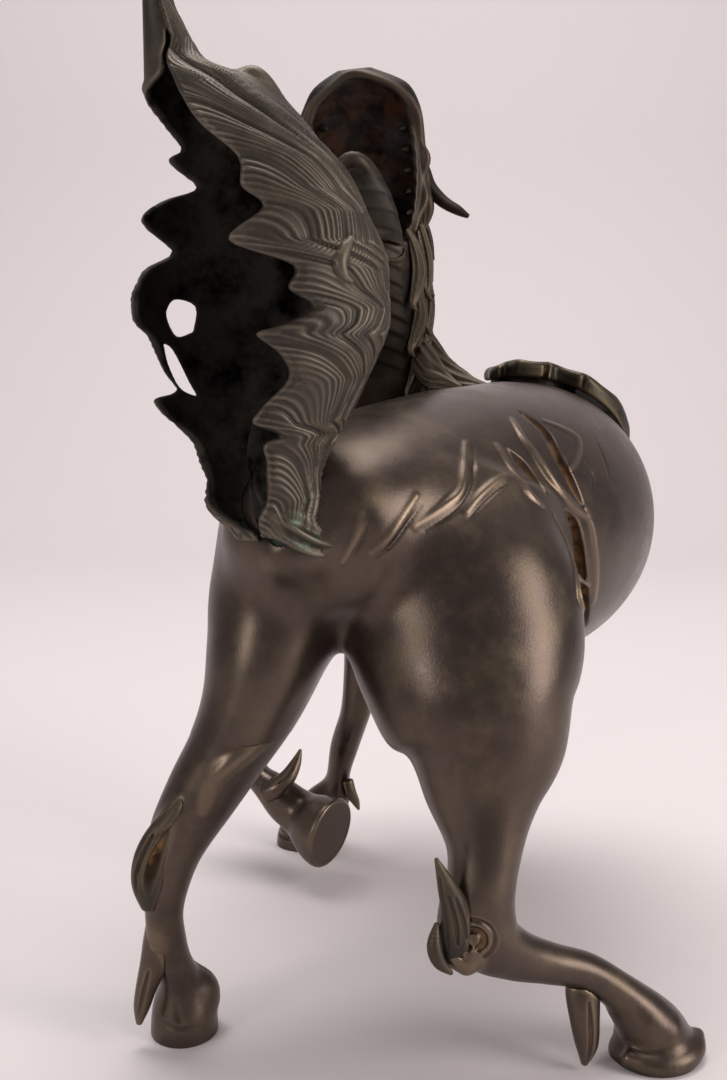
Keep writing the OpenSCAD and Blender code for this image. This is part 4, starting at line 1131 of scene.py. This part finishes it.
# Each: stations of its middle, the leg it stands on, cut grooves and added strands as x, y, z, radius
FLAMES = {
    "right_hock_flame": (
        [[-16, 187, 64, 5, 4], [-18, 187, 75, 8, 5], [-17, 188, 88, 6.5, 5], [-13, 189.5, 100, 4, 3.5],
         [-8.5, 190.5, 112, 0.8, 1]], RIGHT_HIND,
        [[[-14, 192, 70, 0.3], [-13, 193, 82, 0.9], [-11, 193, 94, 0.6], [-10, 192, 104, 0.2]],
         [[-18, 191.5, 74, 0.3], [-17, 193, 84, 0.9], [-14, 193, 96, 0.3]],
         [[-22, 190.5, 76, 0.3], [-20.5, 192, 84, 0.9], [-17, 192.5, 95, 0.3]]],
        [[[-9, 190, 82, 1.2], [-8, 192, 74, 3.2], [-10, 193, 67, 3.0], [-15, 193, 62, 1.2]]]),
    "left_hock_flame": (
        [[120, 151, 72, 3.5, 4], [119, 153, 84, 8, 6], [117.5, 154, 97, 8, 6.5], [112, 153, 110, 6, 5.5],
         [105, 152, 121, 2, 2]], LEFT_HIND,
        [[[118, 159.5, 77, 0.5], [118, 161, 86, 2.8], [115, 161, 97, 3.4], [111, 159.5, 107, 2.0],
          [107, 157, 114, 0.5]],
         [[124, 158, 80, 0.3], [124, 159, 90, 0.8], [120, 160, 102, 0.8], [114, 157, 112, 0.3]]],
        [[[118, 156, 108, 1.2], [111, 157, 113, 2.6], [105, 155, 121, 2.4], [102, 152, 127, 0.6]]]),
    "right_hind_spur": (
        [[-76, 158, 46, 6, 5], [-77, 161, 36, 8, 6], [-78, 164, 24, 7, 5.4], [-79, 165, 12, 5.2, 4.4],
         [-78, 165, 3, 1.4, 1.6]], RIGHT_HIND,
        [[[-79, 167, 34, 0.4], [-80, 169, 24, 1.1], [-80, 169, 13, 0.8], [-79, 168, 6, 0.2]]], []),
    "left_hind_spur": (
        [[115, 142, 68, 6, 6], [116.5, 143, 54, 7.5, 7], [119.5, 144, 41, 6.5, 6], [123, 145, 30, 5, 5],
         [125.5, 145, 20, 3.8, 4], [127, 145, 11.5, 1.4, 1.6]], LEFT_HIND,
        [[[121, 149.5, 40, 0.3], [124, 150, 28, 0.9], [126.5, 149, 18, 0.3]]], []),
    "right_fore_spur": (
        [[32, -82, 50, 3.5, 3.5], [30, -82, 42, 3.5, 3.5], [27, -84, 35, 2.6, 2.6], [25, -86, 29, 0.8, 0.8]],
        RIGHT_FORE, [], []),
    "left_fore_spur": (
        [[82, -42, 56, 6, 6], [75, -40, 60, 6, 6.5], [68, -41, 66, 5, 5.5], [63, -44, 74, 3.4, 3.4],
         [60, -47, 82, 0.9, 1]],
        LEFT_FORE, [[[76, -36, 62, 0.3], [69, -35.5, 67, 0.8], [64, -39, 73, 0.3]]], []),
}


def build_flame(name, rows, leg, grooves, strands):
    shape = tube(rows, (1, 0.3, 0), 40, 6)
    low, high = shape[0].min(0) - 6, shape[0].max(0) + 6
    block = Block(low, high, 0.45)
    field = block.form(shape, 6.0)
    for extra in strands:
        block.raise_bead(field, extra, 1.0)
    plain = field.copy()
    for cut in grooves:
        block.cut_bead(field, cut, 0.8)
    field = np.maximum(field, 0.1 - block.form(tube(leg), 6.0))
    material = FLAME if "flame" in name else SMOOTH
    cast(name, block, field.astype(np.float32), plain, [name], material)


# ---------------------------------------------------------------- back cover

COVER_AT = (-84.0, -60.0)
COVER_LIFT = 8.0
COVER_WALL = 4.8
COVER_GAP = 3.0
COVER_TAPER = 3.0
COVER_HEM_Z = 262
SCROLLS_FROM_Z = 345
COVER_OUTLINE = [
    [-51, 4], [-40, 20], [-22, 30], [-4, 25], [2, 34], [18, 36], [25, 24], [29, 25], [34, 17], [33, 4],
    [34.5, -8],
    [29, -22], [20, -31], [0, -34], [-20, -33], [-40, -22],
]
# Folds in the rolled edge where one lobe slips under the next
COVER_FOLDS = [
    [[-86, -22, 326, 2.4], [-83, -26, 318, 2.2], [-80, -27, 308, 1.6], [-79, -27, 300, 0.6]],
    [[-108, -28, 318, 2.0], [-104, -30, 310, 1.8], [-102, -31, 301, 0.6]],
]
# Scrolls on top of the cover: x and y from its middle, radius
COVER_SCROLLS = [
    [[-44, 2, 0.5], [-30, 10, 1.4], [-14, 12, 1.8], [-6, 4, 1.6], [-14, -4, 1.2], [-20, 2, 0.5]],
    [[27, 2, 0.5], [21, 11, 1.5], [10, 14, 1.8], [4, 4, 1.6], [11, -4, 1.2], [16, 2, 0.5]],
    [[-34, -14, 0.5], [-18, -20, 1.5], [0, -22, 1.8], [15, -20, 1.5], [24, -12, 0.5]],
]


def build_cover():
    """The lift-off cover: a plate that follows the back, with a rolled flame edge and scrolls."""
    block = Block((-144, -102, 256), (-30, -16, 326), 0.7)
    back = block.form(tube(TRUNK, UP, 72), 22.0)
    edge = outline_distance(curve(COVER_OUTLINE + COVER_OUTLINE[:1], 8)[:-1],
                            block.x - COVER_AT[0], block.y - COVER_AT[1])
    thinner = COVER_TAPER * np.clip((block.x + 64) / 22, 0, 1)
    roll = 1.4 * np.exp(-((edge + 3) / 3.0)**2) + 0.5 * np.cos(2 * math.pi * block.x / 21.0) - thinner
    under = COVER_LIFT - (COVER_LIFT - COVER_GAP) * np.clip((edge + 9) / 6, 0, 1)
    plate = np.maximum(back - COVER_LIFT - COVER_WALL + 1.6 - roll, under - back)
    field = -blend(-plate, -edge, 3.0)
    field = np.maximum(field, COVER_HEM_Z - block.z).astype(np.float32)
    plain = field.copy()
    for cut in COVER_FOLDS:
        block.cut_bead(field, cut, 1.5)
    for rows in COVER_SCROLLS:
        laid = [[COVER_AT[0] + x, COVER_AT[1] + y, SCROLLS_FROM_Z, r, 0] for x, y, r in rows]
        block.raise_bead(field, block.lay(plain, laid, (0, 0, -1)), 1.5)
    nodes = ["back_cover"]
    cast("back_cover", block, field.astype(np.float32), plain, nodes, COVER, body="cover")


# ---------------------------------------------------------------- the rest of the frame

def dress_frame():
    """Nodes that stay as they are get a material of their own."""
    looks = {
        "cover_plug": DARK, "neck_collar": DARK, "tail_tenon": DARK, "tail_rivet": BRIGHT,
        "right_eye": BRIGHT, "left_eye": BRIGHT, "right_hind_dowel": BRIGHT, "left_hind_dowel": BRIGHT,
        "right_fore_dowel": BRIGHT, "left_fore_dowel": BRIGHT,
    }
    for name, material in looks.items():
        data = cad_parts[name].data
        data.materials.clear()
        data.materials.append(material)


build_neck()
build_mane("mane_right", 78, 24, 5, FOOT_LOCKS)
build_mane("mane_crest", 168, 24, 5)
build_mane("mane_left", 282, -24, -5)
build_skull()
build_jaw()
build_head_trim()
build_tail()
for flame_name, flame_spec in FLAMES.items():
    build_flame(flame_name, *flame_spec)
build_cover()
dress_frame()


# ---------------------------------------------------------------- studio

FLOOR_HALF = 3.0
FLOOR_FRONT_Y = 3.0
WALL_Y = -1.9
WALL_TOP_Z = 3.5
WALL_BEND = 0.7
PAPER_TINT = (0.72, 0.67, 0.68, 1)
AIR_TINT = (0.80, 0.74, 0.76, 1)
AIR_STRENGTH = 0.37
# Soft boxes: name, place, aim, width, height, power, tint
SOFT_BOXES = [
    ("overhead", (0.1, -0.35, 1.9), (0, 0, 0.1), 1.3, 0.9, 17, (1.0, 0.97, 0.94)),
    ("side", (-1.5, 0.75, 0.75), (0, 0, 0.25), 0.8, 1.2, 20, (1.0, 0.95, 0.90)),
    ("fill", (1.3, 1.3, 0.7), (0, 0, 0.2), 0.45, 0.45, 6, (1.0, 0.96, 0.92)),
    ("backdrop_wash", (0.2, -0.5, 2.6), (0, -1.6, 0.6), 2.6, 1.2, 24, (1.0, 0.98, 0.98)),
]
CAMERA_AT = (0.029, 0.683, 0.330)
CAMERA_TILT = 81
CAMERA_LENS = 43.33


def build_floor():
    """A pale seamless sheet that lies under the statue and curves up behind it."""
    profile = [(FLOOR_FRONT_Y, 0.0), (0.0, 0.0), (WALL_Y + WALL_BEND, 0.0)]
    for a in np.linspace(0.1, math.pi / 2, 14):
        profile.append((WALL_Y + WALL_BEND - WALL_BEND * math.sin(a), WALL_BEND - WALL_BEND * math.cos(a)))
    profile.append((WALL_Y, WALL_TOP_Z))
    points = [(x, y, z) for y, z in profile for x in (-FLOOR_HALF, FLOOR_HALF)]
    faces = [(2 * i, 2 * i + 2, 2 * i + 3, 2 * i + 1) for i in range(len(profile) - 1)]
    mesh = bpy.data.meshes.new("sweep")
    mesh.from_pydata(points, [], faces)
    mesh.shade_smooth()
    paper = bpy.data.materials.new("pale_paper")
    paper.use_nodes = True
    shader = paper.node_tree.nodes["Principled BSDF"]
    shader.inputs["Base Color"].default_value = PAPER_TINT
    shader.inputs["Roughness"].default_value = 0.75
    mesh.materials.append(paper)
    floor = bpy.data.objects.new("sweep", mesh)
    bpy.context.scene.collection.objects.link(floor)


def soft_box(name, at, aim, width, height, power, tint):
    data = bpy.data.lights.new(name, "AREA")
    data.shape = "RECTANGLE"
    data.size = width
    data.size_y = height
    data.energy = power
    data.color = tint
    lamp = bpy.data.objects.new(name, data)
    lamp.location = at
    lamp.rotation_euler = (Vector(aim) - Vector(at)).to_track_quat("-Z", "Y").to_euler()
    bpy.context.scene.collection.objects.link(lamp)


def build_studio():
    """The floor, the soft boxes, the light of the air and the camera."""
    build_floor()
    for row in SOFT_BOXES:
        soft_box(*row)
    world = bpy.data.worlds.new("studio")
    world.use_nodes = True
    air = world.node_tree.nodes["Background"]
    air.inputs["Color"].default_value = AIR_TINT
    air.inputs["Strength"].default_value = AIR_STRENGTH
    bpy.context.scene.world = world
    data = bpy.data.cameras.new("camera")
    data.lens = CAMERA_LENS
    data.sensor_width = 36
    camera = bpy.data.objects.new("camera", data)
    camera.location = CAMERA_AT
    camera.rotation_euler = (math.radians(CAMERA_TILT), 0, math.radians(180))
    bpy.context.scene.collection.objects.link(camera)
    bpy.context.scene.camera = camera
    bpy.context.scene.view_settings.view_transform = "Standard"


build_studio()
